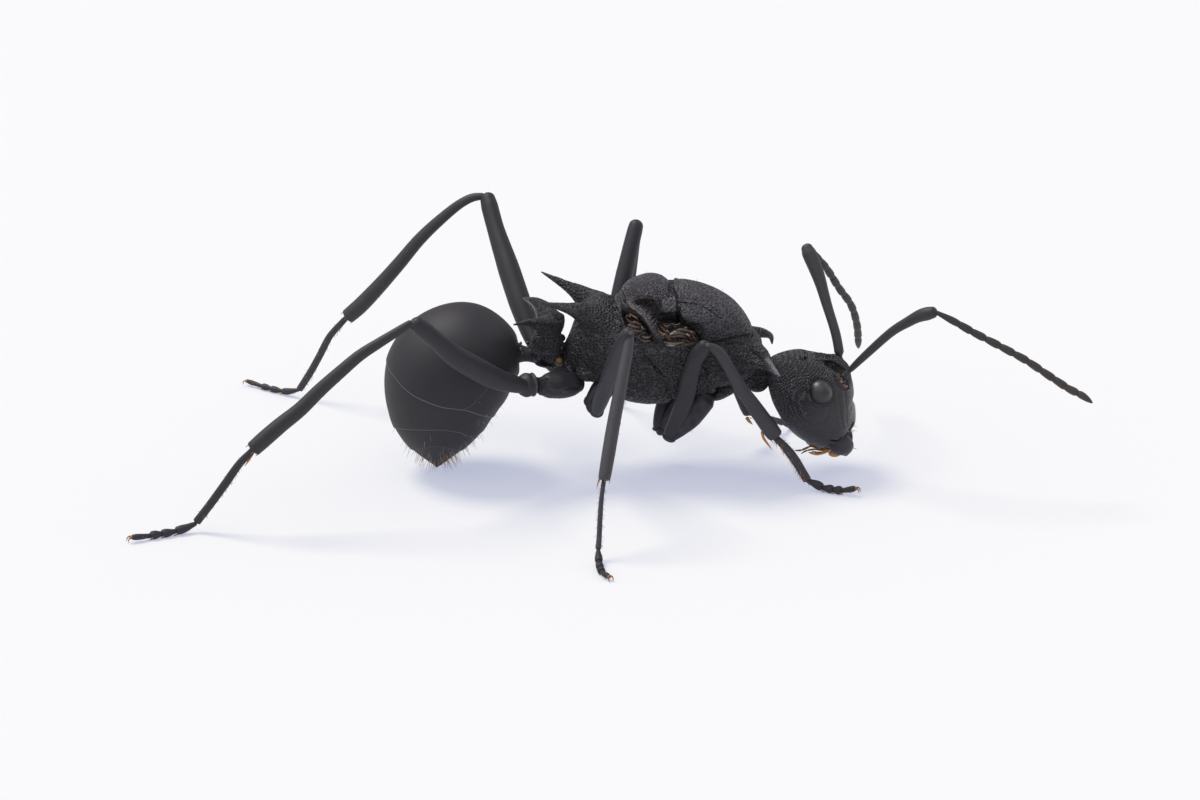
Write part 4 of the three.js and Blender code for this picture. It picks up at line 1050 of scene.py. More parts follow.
    # rim from the cushion down to the ledge
    rod(g, F, [(0.56, 0.50, 4.44), (0.66, 0.66, 4.42), (0.84, 0.77, 4.34), (1.02, 0.84, 4.22), (1.17, 0.89, 4.08), (1.30, 0.94, 3.92), (1.40, 0.98, 3.76), (1.46, 1.00, 3.58)], [(0, 0.04), (0.12, 0.085), (0.35, 0.098), (0.8, 0.090), (1, 0.06)], k=0.02)
    rod(g, F, [(0.74, 0.79, 4.45), (0.98, 0.89, 4.33), (1.16, 0.96, 4.17), (1.30, 1.02, 3.99), (1.42, 1.06, 3.80)], 0.020, k=0.02, carve=True)
    rod(g, F, [(0.68, 0.92, 4.22), (0.92, 0.98, 4.10), (1.08, 1.02, 3.90), (1.18, 1.04, 3.72)], [(0, 0.035), (0.5, 0.05), (1, 0.06)], k=0.02, carve=True)
    # the waist between the undersides of the two chest plates
    rod(g, F, [(1.775, 0.0, 1.86), (1.775, 0.6, 1.92), (1.775, 1.15, 2.22)], [(0, 0.13), (0.6, 0.13), (1, 0.06)], k=0.05, carve=True)
    # gland bulge and pits low at the back
    egg(g, F, (-0.28, 0.66, 2.72), (0.30, 0.20, 0.20), 0.10)
    for c, r in [((-0.62, 0.46, 3.02), 0.05), ((-0.50, 0.58, 2.86), 0.04), ((-0.60, 0.50, 2.70), 0.045)]:
        egg(g, F, c, (r, r, r), 0.02, carve=True)
    crease(g, F, [(-0.60, 2.50), (-0.20, 2.44), (0.10, 2.36)], 0.02, 0.02, near=(0.3, 2))
    # propleuron and neck, seen below and in front of the shoulder
    neck = loft(g, [(2.62, 2.20, 1.84, 0.36), (2.86, 2.42, 1.88, 0.54), (3.20, 2.62, 2.06, 0.52), (3.55, 2.78, 2.20, 0.44), (3.80, 2.80, 2.14, 0.38), (4.02, 2.72, 2.18, 0.30)], 2.2)
    F = smin(F, neck, 0.02)
    egg(g, F, (3.74, 0.14, 2.24), (0.24, 0.28, 0.16), 0.04)
    crease(g, F, [(3.86, 3.2), (3.80, 2.75), (3.82, 2.3)], 0.03, 0.02)
    # collar of the pronotum
    crease(g, F, [(3.70, 3.5), (3.74, 3.0), (3.68, 2.6)], 0.03, 0.016)
    # spines of the propodeum, the same on both sides
    rod(g, F, [(-0.16, 0.50, 4.04), (-0.52, 0.66, 4.28), (-0.92, 0.87, 4.46), (-1.39, 1.11, 4.645)], [(0, 0.34), (0.30, 0.205), (0.55, 0.118), (0.8, 0.062), (1, 0.020)], k=0.16, n=30)
    left, right = F, F.copy()
    prof = [(0, 0.30), (0.3, 0.20), (0.6, 0.105), (0.85, 0.05), (1, 0.020)]
    rod(g, left, [(3.18, 0.66, 3.16), (3.60, 1.00, 3.13), (3.90, 1.24, 3.06), (4.09, 1.36, 2.93), (4.125, 1.385, 2.74)], [(0, 0.30), (0.3, 0.21), (0.6, 0.130), (0.85, 0.072), (1, 0.022)], k=0.16, n=30)
    rod(g, right, [(3.20, 0.66, 3.22), (3.66, 0.98, 3.13), (4.00, 1.20, 3.03), (4.235, 1.35, 2.91)], prof, k=0.16, n=30)
    rod(g, right, [(3.72, 0.88, 3.42), (3.84, 1.00, 3.34), (4.02, 1.19, 3.11), (4.14, 1.29, 2.98)], [(0, 0.15), (0.35, 0.125), (0.75, 0.075), (1, 0.04)], k=0.07, n=30)
    full = np.concatenate([right[:, :0:-1], left], axis=1)
    lo = g.lo.copy()
    lo[1] = -(left.shape[1] - 1) * STEP
    v, f = surface(full, lo, STEP)
    v = relax(v, f, 1, 0.5)
    return v, f


def skin(name, v, f, material, colour, cells=0.070, depth=0.0135, big=0.006, marks=(), quiet=(), strength=None, drawn=(), shade=None):
    """Makes a piece from a raw surface: net of ribs, slow unevenness, coloured marks.
    The colour is lighter on the ribs and darker in the pits, as painted highlights and painted shade;
    marks and drawn lines carry painted shade and highlights as well, and shade is a factor of painted
    light and shade on the colour.
    """
    n = normals(v, f)
    if (n * (v - v.mean(0))).sum() < 0:
        f, n = f[:, ::-1], -n
    k = np.ones(len(v)) if strength is None else strength
    for p, r in quiet:
        d = np.linalg.norm(v - np.asarray(p), axis=1)
        k = k * smooth(0.2, 1.0, d / r)
    ribs = net(v, cells)
    along = smooth(1.95, 2.5, v[:, 0]) * smooth(3.5, 3.8, v[:, 2]) * 0.8
    if along.max() > 0:
        ribs = ribs * (1 - along) + net(v * [0.62, 0.95, 0.95], cells) * along
    h = ribs * depth + noise(v, 0.24) * big + noise(v, 0.05, 5) * depth * 0.15
    v = v + n * ((h - depth * 0.8) * k)[:, None]
    col = np.broadcast_to(np.asarray(colour, float), v.shape).copy()
    deep = 0.78 - 0.20 * smooth(3.5, 4.1, v[:, 2]) + 0.25 * smooth(0.9, 0.2, v[:, 0])
    # colour lighter on the ribs and darker in the pits: painted highlights and painted shade on the net
    col = col * ((1 + (1.75 * ribs ** 3 - 0.42) * deep) * (1 + 0.10 * noise(v, 0.35, 9)))[:, None]
    if shade is not None:
        col = col * shade(v)[:, None]
    col = spots(col, v, marks)
    v, col = lines(v, n, col, drawn)
    col = np.c_[col, ribs ** 2 * k + 0.4 * (1 - k)]
    b = Build()
    b.add(v, f, col)
    return b.make(name, material)


SPINE_TIPS = [((-1.39, 1.11, 4.645), 0.5), ((-1.39, -1.11, 4.645), 0.5), ((4.15, 1.375, 2.85), 0.35), ((4.23, -1.345, 2.905), 0.35)]
MEMBRANE = np.array([0.30, 0.24, 0.18])
v, f = trunk()
o = skin("trunk", v, f, M_SHELL, BLACK, quiet=SPINE_TIPS, marks=[
    ((1.74, 1.08, 3.64), (0.22, 0.06, 0.03), PALE * 0.22, 0.6),
    # dark marks in the pocket of the wings and the pit under the axilla: painted shade
    ((1.10, 0.82, 3.87), (0.50, 0.12, 0.14), DARK, 0.8),
    ((1.90, 0.84, 3.90), (0.50, 0.12, 0.14), DARK, 0.8),
    ((1.67, 0.84, 4.20), (0.24, 0.16, 0.09), DARK, 0.9),
    ((0.74, 0.80, 4.44), (0.12, 0.10, 0.07), PALE * 0.16, 0.8),
    ((0.96, 0.90, 4.31), (0.12, 0.10, 0.08), PALE * 0.12, 0.8),
    ((1.14, 0.95, 4.16), (0.10, 0.10, 0.10), PALE * 0.10, 0.8),
    ((1.28, 1.00, 3.98), (0.09, 0.10, 0.12), PALE * 0.07, 0.8),
    ((1.12, 0.66, 4.50), (0.26, 0.12, 0.07), RUST * 0.16, 0.7),
    ((2.28, 0.5, 1.98), (0.14, 0.5, 0.06), MEMBRANE, 0.7),
    ((2.95, 0.5, 1.98), (0.20, 0.5, 0.12), MEMBRANE * 0.35, 0.5),
    # a pale spot on the collar of the pronotum: painted highlight
    ((3.75, 0.3, 2.95), (0.04, 0.1, 0.03), PALE * 0.8, 0.8),
    # lighter spines of the shoulder: painted highlight
    ((4.14, 1.28, 2.97), (0.20, 0.20, 0.15), BLACK * 4.6, 0.9),
    ((-0.94, 0.1, 3.0), (0.12, 0.3, 0.14), RUST * 0.4, 0.6)],
    # painted light and shade: lighter on top of the back, darker low on the sides and at the rear
    shade=lambda v: (1 + 0.95 * smooth(3.55, 4.3, v[:, 2]) * smooth(0.2, 1.2, v[:, 0])) * (1 - 0.35 * smooth(3.5, 2.9, v[:, 2])) * (1 - 0.25 * smooth(0.5, 0.0, v[:, 0])),
    # drawn lines: factors below one darken furrows and hollows as painted shade, factors above one brighten raised
    # edges as painted highlights
    drawn=[
        # shield and cushion
        ([(671, 279), (671, 284), (672, 290), (675, 294), (678, 300), (678.5, 308), (678.5, 315), (679, 322)], 1.5, 0.055, 0.06),
        ([(650, 297), (656, 295.5), (660, 294)], 1.5, 0.015, 0.7),
        ([(660, 298), (661, 307), (662.5, 314)], 1.4, 0.03, 0.45),
        ([(663, 319), (669, 318.5), (676, 319)], 4.0, 0.03, 0.15),
        ([(680, 302), (690, 303), (700, 305), (710, 310.5), (716, 315), (721, 318.5)], 0.85, 0.028, 0.30),
        ([(682, 322), (688, 323), (693, 327), (697, 332), (701, 337)], 3.0, 0.02, 0.25),
        ([(634, 296), (639, 297.5), (646, 299), (654, 300)], 2.6, 0.02, 0.45),
        ([(646, 304), (652, 306), (657, 311)], 3.0, 0.02, 0.40),
        ([(622.5, 289), (623.5, 285), (627, 281)], 0.9, -0.01, 2.2),
        # rim under the cushion, with painted highlights along its double edge
        ([(627, 300), (632, 306), (638, 311.5), (644, 317), (648.5, 324), (652, 331), (655, 337)], 2.4, -0.012, 2.3),
        ([(632, 301.5), (636, 305), (641, 309), (647, 312), (652, 316), (655, 319)], 1.0, -0.02, np.array([0.10, 0.092, 0.095])),
        ([(622, 293), (624.5, 301), (628, 307.5), (633, 312), (638, 315.5), (642, 319.5), (645, 325), (648, 330), (650, 334), (652, 339)], 1.5, 0.05, 0.08),
        ([(653, 321), (657, 327), (660, 332)], 1.2, 0.03, 0.3),
        # furrow behind
        ([(610.5, 299), (613.5, 305), (617, 309.5)], 1.1, 0.04, 0.15),
        ([(618, 311), (621, 318), (622, 327)], 1.0, 0.02, 0.45),
        ([(620, 291), (621.5, 296), (623.5, 301)], 1.1, 0.03, 0.15),
        ([(615.5, 298), (618.5, 303), (620.5, 308)], 1.7, -0.02, PALE * 0.10),
        ([(625, 303), (625.5, 307)], 1.1, -0.01, PALE * 0.12),
        # pocket of the wings
        ([(654, 342.5), (662, 342.5), (668, 342)], 1.2, 0.03, 0.12),
        ([(667, 345), (676, 346.5), (686, 345), (694, 342.5)], 1.4, -0.02, PALE * 0.16),
        ([(690, 331), (696, 336), (700, 341)], 1.6, 0.02, 0.15),
        # shoulder
        ([(703, 341), (711, 343.2), (722, 341.5), (735, 338), (752, 334.5)], 1.3, 0.055, 0.08),
        ([(698, 306.2), (704, 308.5), (710, 312.2), (716, 316.6), (721, 320)], 0.6, -0.004, 1.7),
        # a grey stripe along the near spine of the shoulder: painted highlight
        ([(767.5, 359.5), (771.5, 364), (775.5, 369.5), (779.5, 375.5)], 2.4, 0.0, np.array([0.19, 0.19, 0.21])),
        ([(546, 303.3), (556, 305), (566, 308), (576, 312)], 3.0, 0.0, np.array([0.050, 0.046, 0.044])),
        ([(644, 356), (652, 364), (660, 373)], 1.0, 0.022, 0.40),
        ([(634, 340), (642, 341), (650, 339.5)], 1.0, 0.02, 0.3)])
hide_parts("propodeum", "mesopleuron", "scutellum", "scutum", "pronotum", "neck")

# ------------------------------------------------------------------ petiole

PST = 0.0125
g = Grid((-2.2, 0.0, 2.5), (-0.6, 1.12, 4.35), PST)
F = loft(g, [(-0.84, 3.20, 2.84, 0.18), (-0.97, 3.64, 2.74, 0.32), (-1.14, 3.96, 2.74, 0.42), (-1.34, 3.94, 2.78, 0.42), (-1.53, 3.66, 2.80, 0.34), (-1.68, 3.22, 2.84, 0.20)], 2.5)
crease(g, F, [(-1.00, 3.10), (-1.30, 3.02), (-1.60, 3.05)], 0.04, 0.03)
rod(g, F, [(-0.95, 0.10, 3.62), (-0.90, 0.14, 3.78), (-0.89, 0.17, 3.86)], [(0, 0.07), (1, 0.02)], k=0.05)
egg(g, F, (-1.20, 0.0, 2.76), (0.36, 0.26, 0.12), 0.05)
egg(g, F, (-0.92, 0.26, 3.28), (0.10, 0.10, 0.10), 0.05)
lft, rgt = F, F.copy()
hprof = [(0, 0.24), (0.25, 0.18), (0.5, 0.115), (0.75, 0.062), (1, 0.020)]
rod(g, lft, [(-1.16, 0.18, 3.74), (-1.38, 0.50, 3.90), (-1.60, 0.74, 4.02), (-1.83, 0.94, 4.065)], [(0, 0.28), (0.3, 0.255), (0.55, 0.185), (0.8, 0.085), (1, 0.020)], k=0.16)
rod(g, rgt, [(-1.20, 0.18, 3.74), (-1.48, 0.50, 3.90), (-1.76, 0.74, 4.01), (-2.03, 0.94, 4.035)], hprof, k=0.12)
lo = g.lo.copy()
lo[1] = -(F.shape[1] - 1) * PST
v, f = surface(np.concatenate([rgt[:, :0:-1], lft], axis=1), lo, PST)
v = relax(v, f, 1, 0.5)
o = skin("petiole", v, f, M_SHELL, BLACK * 1.05, cells=0.052, depth=0.010, marks=[
    ((-0.96, 0.30, 2.86), (0.09, 0.12, 0.08), AMBER * 0.30, 0.8)],
    quiet=[((-1.83, 0.94, 4.065), 0.35), ((-2.03, -0.94, 4.035), 0.35)],
    # drawn lines: factors below one are painted shade in furrows and under the horn, factors above one and the grey
    # line on the far horn are painted highlights
    drawn=[
        ([(523, 299), (529, 302.5), (534, 308), (536.5, 314), (537, 318)], 1.0, -0.01, np.array([0.17, 0.17, 0.19]), "far"),
        ([(518, 324.5), (530, 324), (545, 325), (553, 326)], 1.8, 0.02, 0.35),
        ([(534, 328), (533, 338), (535, 346)], 1.8, 0.02, 0.5),
        ([(530, 351), (537, 353.5), (546, 353), (556, 354.5)], 1.5, -0.01, 2.2),
        ([(541, 361), (546, 365), (551, 366)], 2.6, 0.05, 0.12),
        ([(562, 346), (561, 353), (566, 356)], 1.8, 0.03, 0.15),
        ([(559.5, 321), (562.5, 323), (562, 328)], 1.2, -0.01, 1.8)])
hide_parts("petiole")
# small balls at the waist: an ochre spot of its own colour, pale and grey balls as painted highlights, a dark ball as
# painted shade in a gap
b = Build()
OCHRE = np.array([0.30, 0.17, 0.035])
for sg in (1, -1):
    c_ = from_view(559, 361.5, -0.42)
    b.add(*ball((c_[0], -c_[1] * sg, c_[2]), (0.095, 0.09, 0.105), n=18, m=12), OCHRE * 0.33)
    for px, py, w, r_, k_ in [(520.5, 349, 0.20, 0.035, PALE * 0.3), (522, 353, 0.22, 0.030, PALE * 0.2), (527.5, 348, 0.18, 0.040, BLACK * 3), (530, 351, 0.20, 0.032, PALE * 0.2), (562, 348, 0.40, 0.05, DARK), (539, 357, 0.30, 0.05, BLACK * 2.5)]:
        c_ = from_view(px, py, -w)
        b.add(*ball((c_[0], -c_[1] * sg, c_[2]), (r_, r_, r_ * 1.3), n=12, m=8), k_)
o2 = b.make("petiole_joints_and_painted_light", M_WING)

# ------------------------------------------------------------------ head

PITCH_H = math.radians(54)
CH, SH = math.cos(PITCH_H), math.sin(PITCH_H)


def head_point(p):
    """(along the face, side, out of the face) to body millimetres."""
    p = np.asarray(p, float)
    a, s, o = p[..., 0], p[..., 1], p[..., 2]
    return np.stack([5.05 + CH * a + SH * o, s, 1.85 - SH * a + CH * o], -1)


def head_local(p):
    p = np.asarray(p, float)
    dx, dz = p[..., 0] - 5.05, p[..., 2] - 1.85
    return np.stack([CH * dx - SH * dz, p[..., 1], SH * dx + CH * dz], -1)


HEAD_ROWS = [(-1.38, -0.24, -0.40, 0.24), (-1.28, 0.02, -0.46, 0.47), (-1.13, 0.35, -0.54, 0.69), (-0.92, 0.62, -0.64, 0.87), (-0.62, 0.90, -0.76, 1.00), (-0.28, 1.05, -0.84, 1.06), (0.08, 1.06, -0.88, 1.05), (0.42, 0.93, -0.85, 0.98), (0.72, 0.71, -0.74, 0.87), (1.00, 0.47, -0.58, 0.72), (1.20, 0.28, -0.36, 0.48)]
EYE = dict(c=(-0.295, 0.905, 0.415), r=(0.300, 0.285, 0.275))
HST = 0.0128
g = Grid((-1.52, 0.0, -1.02), (1.42, 1.28, 1.34), HST)
F = loft(g, HEAD_ROWS, 2.25, soft=0.14)
# the notch between forehead and clypeus, then the clypeus itself
crease(g, F, [(0.60, 1.2), (0.58, 0.70)], 0.075, 0.055, near=(-1, 0.42), soft=0.25)
egg(g, F, (0.86, 0.0, 0.36), (0.34, 0.46, 0.26), 0.10, turn=-38)
crease(g, F, [(0.40, 0.98), (0.62, 0.84), (0.86, 0.66), (1.12, 0.40)], 0.020, 0.014, near=(0.40, 0.62), soft=0.06)
# frontal carinae: two raised edges hanging over the feeler sockets
rod(g, F, [(-0.84, 0.21, 0.71), (-0.68, 0.225, 0.86), (-0.53, 0.24, 0.965), (-0.40, 0.25, 1.02), (-0.22, 0.25, 1.075), (-0.06, 0.245, 1.08), (0.07, 0.22, 1.02), (0.16, 0.19, 0.97)], [(0, 0.05), (0.25, 0.085), (0.6, 0.085), (1, 0.05)], k=0.10)
rod(g, F, [(-0.70, 0.40, 0.86), (-0.54, 0.43, 0.97), (-0.34, 0.455, 1.04), (-0.08, 0.46, 1.06)], [(0, 0.04), (0.3, 0.10), (0.7, 0.135), (1, 0.12)], k=0.02, carve=True)
egg(g, F, (-0.08, 0.52, 0.99), (0.24, 0.15, 0.12), 0.025, carve=True)
rod(g, F, [(-0.26, 0.64, 0.88), (-0.06, 0.675, 0.875), (0.12, 0.62, 0.91), (0.16, 0.52, 0.96)], 0.026, k=0.02)
egg(g, F, (-0.14, 0.57, 0.89), (0.07, 0.05, 0.06), 0.02)
egg(g, F, (0.02, 0.58, 0.90), (0.06, 0.05, 0.05), 0.02)
# a low ridge down the middle of the forehead
crease(g, F, [(-0.4, 1.05), (0.3, 1.05)], 0.05, -0.010, near=(-1, 0.02), soft=0.04)
# a shallow ring round the eye
ec, er = EYE["c"], EYE["r"]
q = np.sqrt(((g.x - ec[0]) / er[0]) ** 2 + ((g.y - ec[1]) / er[1]) ** 2 + ((g.z - ec[2]) / er[2]) ** 2)
F += (0.022 * np.exp(-((q - 1.10) / 0.10) ** 2)).astype(np.float32)
# cheek edge and the seat of the jaws
crease(g, F, [(1.00, 0.48), (1.08, 0.20), (1.10, -0.10), (1.02, -0.36)], 0.034, 0.055, near=(0.25, 2))
egg(g, F, (1.20, 0.30, -0.02), (0.12, 0.30, 0.20), 0.04, carve=True)
# seam along the underside
crease(g, F, [(-0.9, -0.64), (0.0, -0.88), (0.9, -0.64)], 0.05, 0.02, near=(-1, 0.01), soft=0.03)
# three simple eyes
for c in [(-1.00, 0.20, 0.50), (-0.83, 0.0, 0.72)]:
    egg(g, F, c, (0.055, 0.055, 0.055), 0.02)
lo = g.lo.copy()
lo[1] = -(F.shape[1] - 1) * HST
hv, hf = surface(mirrored(F), lo, HST)
hv = relax(hv, hf, 1, 0.5)
# how strong the net of ribs is: strong behind and above, faint on the cheek and lower face
rough = smooth(0.22, -0.45, hv[:, 0] + 0.30 * hv[:, 2]) * 0.88 + 0.16
n = normals(hv, hf)
if (n * (hv - hv.mean(0))).sum() < 0:
    hf, n = hf[:, ::-1], -n
# rows of pits around the back of the head, fine lines down the face
stretch = np.stack([hv[:, 0] * 1.0, hv[:, 1] * 1.15, hv[:, 2] * 1.15], 1)
h = net(stretch, 0.062, loose=0.5) * 0.0135 * rough
h += noise(hv * [0.25, 1.0, 1.0], 0.028, 4) * 0.0028 * (1.1 - rough)
h += noise(hv, 0.26) * 0.006
hv = hv + n * (h - 0.014)[:, None]
ribs = net(stretch, 0.062, loose=0.5)
# colour lighter on the ribs and darker in the pits: painted highlights and painted shade on the net
col = np.broadcast_to(BLACK * 1.15, hv.shape).copy() * ((1 + (1.7 * ribs ** 2.5 - 0.5) * rough) * (1 + 0.08 * noise(hv, 0.35, 9)))[:, None]
col = spots(col, hv, [
    ((-0.12, 0.50, 0.95), (0.07, 0.05, 0.10), PALE * 0.55, 0.8),
    ((-0.02, 0.56, 0.93), (0.05, 0.05, 0.08), RUST * 0.8, 0.8),
    ((-0.20, 0.58, 0.90), (0.05, 0.05, 0.08), RUST * 0.5, 0.8),
    # dark marks below the edges over the feeler sockets: painted shade
    ((-0.54, 0.36, 0.93), (0.16, 0.05, 0.09), DARK * 0.6, 0.95),
    ((-0.32, 0.37, 0.98), (0.18, 0.06, 0.10), DARK * 0.6, 0.95),
    ((-0.10, 0.38, 0.98), (0.14, 0.06, 0.10), DARK * 0.6, 0.9),
    # a dark mark at the seat of the jaws: painted shade
    ((1.06, 0.40, 0.06), (0.05, 0.14, 0.26), DARK, 0.8),
    ((-1.00, 0.20, 0.54), (0.05, 0.05, 0.05), DARK, 0.9),
    ((-0.83, 0.0, 0.76), (0.05, 0.05, 0.05), DARK, 0.9),
    ((1.04, 0.40, 0.42), (0.06, 0.10, 0.06), PALE * 0.5, 0.6),
    ((1.10, 0.30, -0.30), (0.10, 0.25, 0.12), AMBER * 0.3, 0.5)])
HV, HN = head_point(hv), head_point(n) - head_point(np.zeros(3))
# the crown dips a little between its peak and the feelers
q_ = to_view(HV)
HV[:, 2] -= 0.062 * smooth(802, 812, q_[:, 0]) * smooth(836, 827, q_[:, 0]) * smooth(366, 352, q_[:, 1]) * smooth(0.9, 0.4, np.abs(HV[:, 1]))
HV, col = lines(HV, HN, col, [
    # edges over the feelers, brightened as a painted highlight, and painted shade in the hollow below them
    ([(826, 360), (830, 358), (835, 358.5), (841, 361), (846, 364)], 1.2, -0.02, 1.5),
    ([(828, 362.3), (833, 364.5), (838, 367), (844, 369), (850, 372)], 3.4, 0.06, 0.05),
    ([(833, 360.5), (839, 363.8), (845, 367)], 1.6, 0.03, 0.10),
    ([(827, 361), (831, 363.5), (836, 366.8), (841, 370)], 3.2, 0.02, 0.04),
    ([(834, 375), (836, 379), (838, 384), (841, 388), (844, 390), (848, 388)], 1.2, 0.02, 0.45),
    ([(838, 374.5)], 1.3, 0, PALE * 0.30), ([(841, 378.5)], 1.2, 0, PALE * 0.32), ([(844.5, 381.5)], 1.5, 0, PALE * 0.22), ([(844.5, 385.5)], 1.2, 0.02, RUST * 0.25),
    ([(836, 377)], 1.0, 0.02, 0.1), ([(842, 375.5)], 1.0, 0.01, RUST * 0.35), ([(848, 382)], 1.4, 0.02, 0.1), ([(840, 383)], 1.0, 0.01, RUST * 0.3),
    # a simple eye on the crown, with painted shade in a crescent below it and a painted highlight above
    ([(801, 358.5), (803.5, 359.7), (806, 358)], 1.2, 0.03, 0.08),
    ([(803, 356.4)], 1.0, -0.02, 2.2),
    # painted shade in the hollow behind the eye
    ([(812, 392), (812.3, 387), (814, 382.5)], 1.2, 0.03, 0.10),
    ([(813, 394), (814.5, 399), (818, 402.5)], 1.4, 0.015, 0.55),
    # lines down the face and the plate over the mouth: grooves darkened as painted shade, the ridge between them
    # lightened as a painted highlight
    ([(838, 391), (839.5, 402), (841, 415), (843, 427)], 0.8, 0.010, 0.72),
    ([(842, 391), (843.5, 405), (844.5, 420), (846, 429)], 0.9, -0.008, 1.35),
    ([(845.5, 392), (846.5, 404), (847, 418), (847.5, 427)], 0.7, 0.012, 0.7),
    ([(834, 395), (835, 408), (837, 425)], 0.8, 0.006, 0.80),
    ([(846, 437), (848, 434), (849, 431)], 1.3, 0.02, 0.12),
    ([(831.5, 441), (836, 441.5), (840, 440.2), (841, 438.5)], 0.9, 0.03, 0.10),
    ([(828, 446.8), (830, 445), (832, 444)], 0.9, 0.02, 0.2),
    # margin along the underside
    ([(812, 445.5), (818, 448), (825, 449.5), (831, 451)], 1.3, 0, AMBER * 0.30),
    # points of light on the ribs
    ([(796, 369)], 0.7, -0.012, 4.0), ([(807.5, 374)], 0.7, -0.012, 4.0), ([(817, 374.5)], 0.7, -0.012, 4.0), ([(824.5, 378)], 0.7, -0.012, 3.5), ([(808.5, 389)], 0.7, -0.012, 4.0), ([(797, 373)], 0.6, -0.010, 3.0), ([(784, 374)], 0.6, -0.010, 3.0)])
col = np.c_[col, 0.45 + (ribs ** 2 - 0.45) * rough]
b = Build()
b.add(HV, hf, col)
# the keel down the middle of the plate over the mouth, coloured pale lilac as a painted reflection
b.add(*tube([from_view(x, y, 0.0) for x, y in [(850.8, 398), (852.6, 404), (853.6, 411), (853.5, 419), (852.0, 428)]], [(0, 0.015), (0.3, 0.052), (0.8, 0.052), (1, 0.015)], n=16, m=30), np.array([0.36, 0.36, 0.44]))
for sg in (1, -1):
    for px_, py_, r_, k_ in [(847.5, 431.5, 0.035, PALE * 0.45), (844.5, 430.5, 0.024, PALE * 0.25)]:
        c_ = from_view(px_, py_, -0.36)
        b.add(*ball((c_[0], -c_[1] * sg, c_[2]), (r_, r_, r_), n=12, m=8), k_)
    for c_, r_, k_ in [((-0.22, 0.56, 0.91), 0.042, RUST * 0.5), ((-0.12, 0.59, 0.90), 0.046, PALE * 0.34), ((0.00, 0.60, 0.895), 0.050, RUST * 0.9), ((0.06, 0.55, 0.925), 0.036, PALE * 0.45), ((-0.06, 0.53, 0.94), 0.040, RUST * 0.4), ((-0.15, 0.52, 0.94), 0.030, PALE * 0.22)]:
        b.add(*ball(head_point((c_[0], c_[1] * sg, c_[2])), (r_, r_ * 0.8, r_), n=12, m=8), k_)
o = b.make("head", M_SHELL)
q_ = np.vstack(b.v)
shine = np.exp(-((q_[:, 0] - 6.02) / 0.13) ** 2 - (q_[:, 1] / 0.34) ** 2 - ((q_[:, 2] - 1.40) / 0.38) ** 2)
a_ = o.data.attributes.new("gloss", "FLOAT", "POINT")
a_.data.foreach_set("value", np.clip(shine * 1.6, 0, 1).astype(np.float32))
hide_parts("head")

# eyes, with painted light in their colour: lighter on the upper part, a painted reflection brightest at the front rim,
# painted shade at the back rim and below
for side, sg in (("left", 1), ("right", -1)):
    b = Build()
    vv, ff = ball((0, 0, 0), (1, 1, 1), n=64, m=40)
    vv = vv * np.array(er) + np.array([ec[0], ec[1], ec[2]])
    vv[:, 1] *= sg
    if sg < 0:
        ff = [q[::-1] for q in ff]
    EV = head_point(vv)
    q_ = (EV - EV.mean(0)) / 0.29
    b.add(EV, ff, BLACK * (0.22 + 1.5 * smooth(-0.1, 0.75, q_[:, 2]) * smooth(-0.95, -0.35, q_[:, 0]) + 3.2 * smooth(0.66, 0.96, q_[:, 0]))[:, None])
    o = b.make("eye_" + side, M_EYE)
    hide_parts("eye_" + side)

# jaws: broad plates folded across the mouth, with teeth
for side, sg in (("left", 1), ("right", -1)):
    b = Build()
    p = [(0.98, 0.46, -0.10), (1.20, 0.43, -0.05), (1.42, 0.29, -0.05), (1.62, 0.10, -0.15)]
    P = head_point([(a, s * sg, o_) for a, s, o_ in p])
    b.add(*tube(P, [(0, 0.21), (0.25, 0.28), (0.5, 0.26), (0.8, 0.15), (1, 0.05)], n=36, m=44, thin=0.60, hint=(0, 1, 0), ends=(0.5, 0.7)), BLACK * 1.25)
    if sg < 0:
        JAW = np.array(b.v[0])
    # the inner blade, so that the two jaws close over the mouth
    vv, ff = ball((0, 0, 0), (1, 1, 1), n=40, m=24)
    vv = vv * [0.28, 0.18, 0.12] + [1.32, 0.165, -0.04]
    vv[:, 1] *= sg
    if sg < 0:
        ff = [q_[::-1] for q_ in ff]
    b.add(head_point(vv), ff, BLACK * 1.1)
    for i, tt in enumerate(np.linspace(0, 1, 5)):
        a0 = np.array([1.55 - 0.06 * tt, (0.13 - 0.04 * tt) * sg, 0.02 - 0.30 * tt])
        a1 = a0 + [0.07 - 0.02 * tt, -0.08 * sg, -0.02]
        q0, q1 = head_point(a0), head_point(a1)
        b.add(*thorn([q0, (q0 + q1) / 2, q1], 0.05, n=8, m=8, tip=0.2), BLACK * 1.5)
    o = b.make("mandible_" + side, M_JAW)
    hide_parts("mandible_" + side)

def seen(px, py, clouds):
    """The point of the near surface that the camera sees at px, py."""
    best = None
    for V in clouds:
        P = to_view(V)
        k = np.nonzero((np.abs(P[:, 0] - px) < 1.0) & (np.abs(P[:, 1] - py) < 1.0))[0]
        if len(k):
            d = V[k, 1] * math.cos(PITCH) - V[k, 2] * math.sin(PITCH)
            j = k[np.argmin(d)]
            if best is None or d.min() < best[0]:
                best = (d.min(), V[j, 1])
    return from_view(px, py, best[1])


# mouth: amber palps and tongue lobe
b = Build()
P = head_point([(0.62, 0.0, -0.66), (0.95, 0.0, -0.56), (1.18, 0.0, -0.42)])
b.add(*tube(P, [(0, 0.10), (0.4, 0.17), (0.8, 0.15), (1, 0.08)], n=24, m=24), AMBER * 0.55)
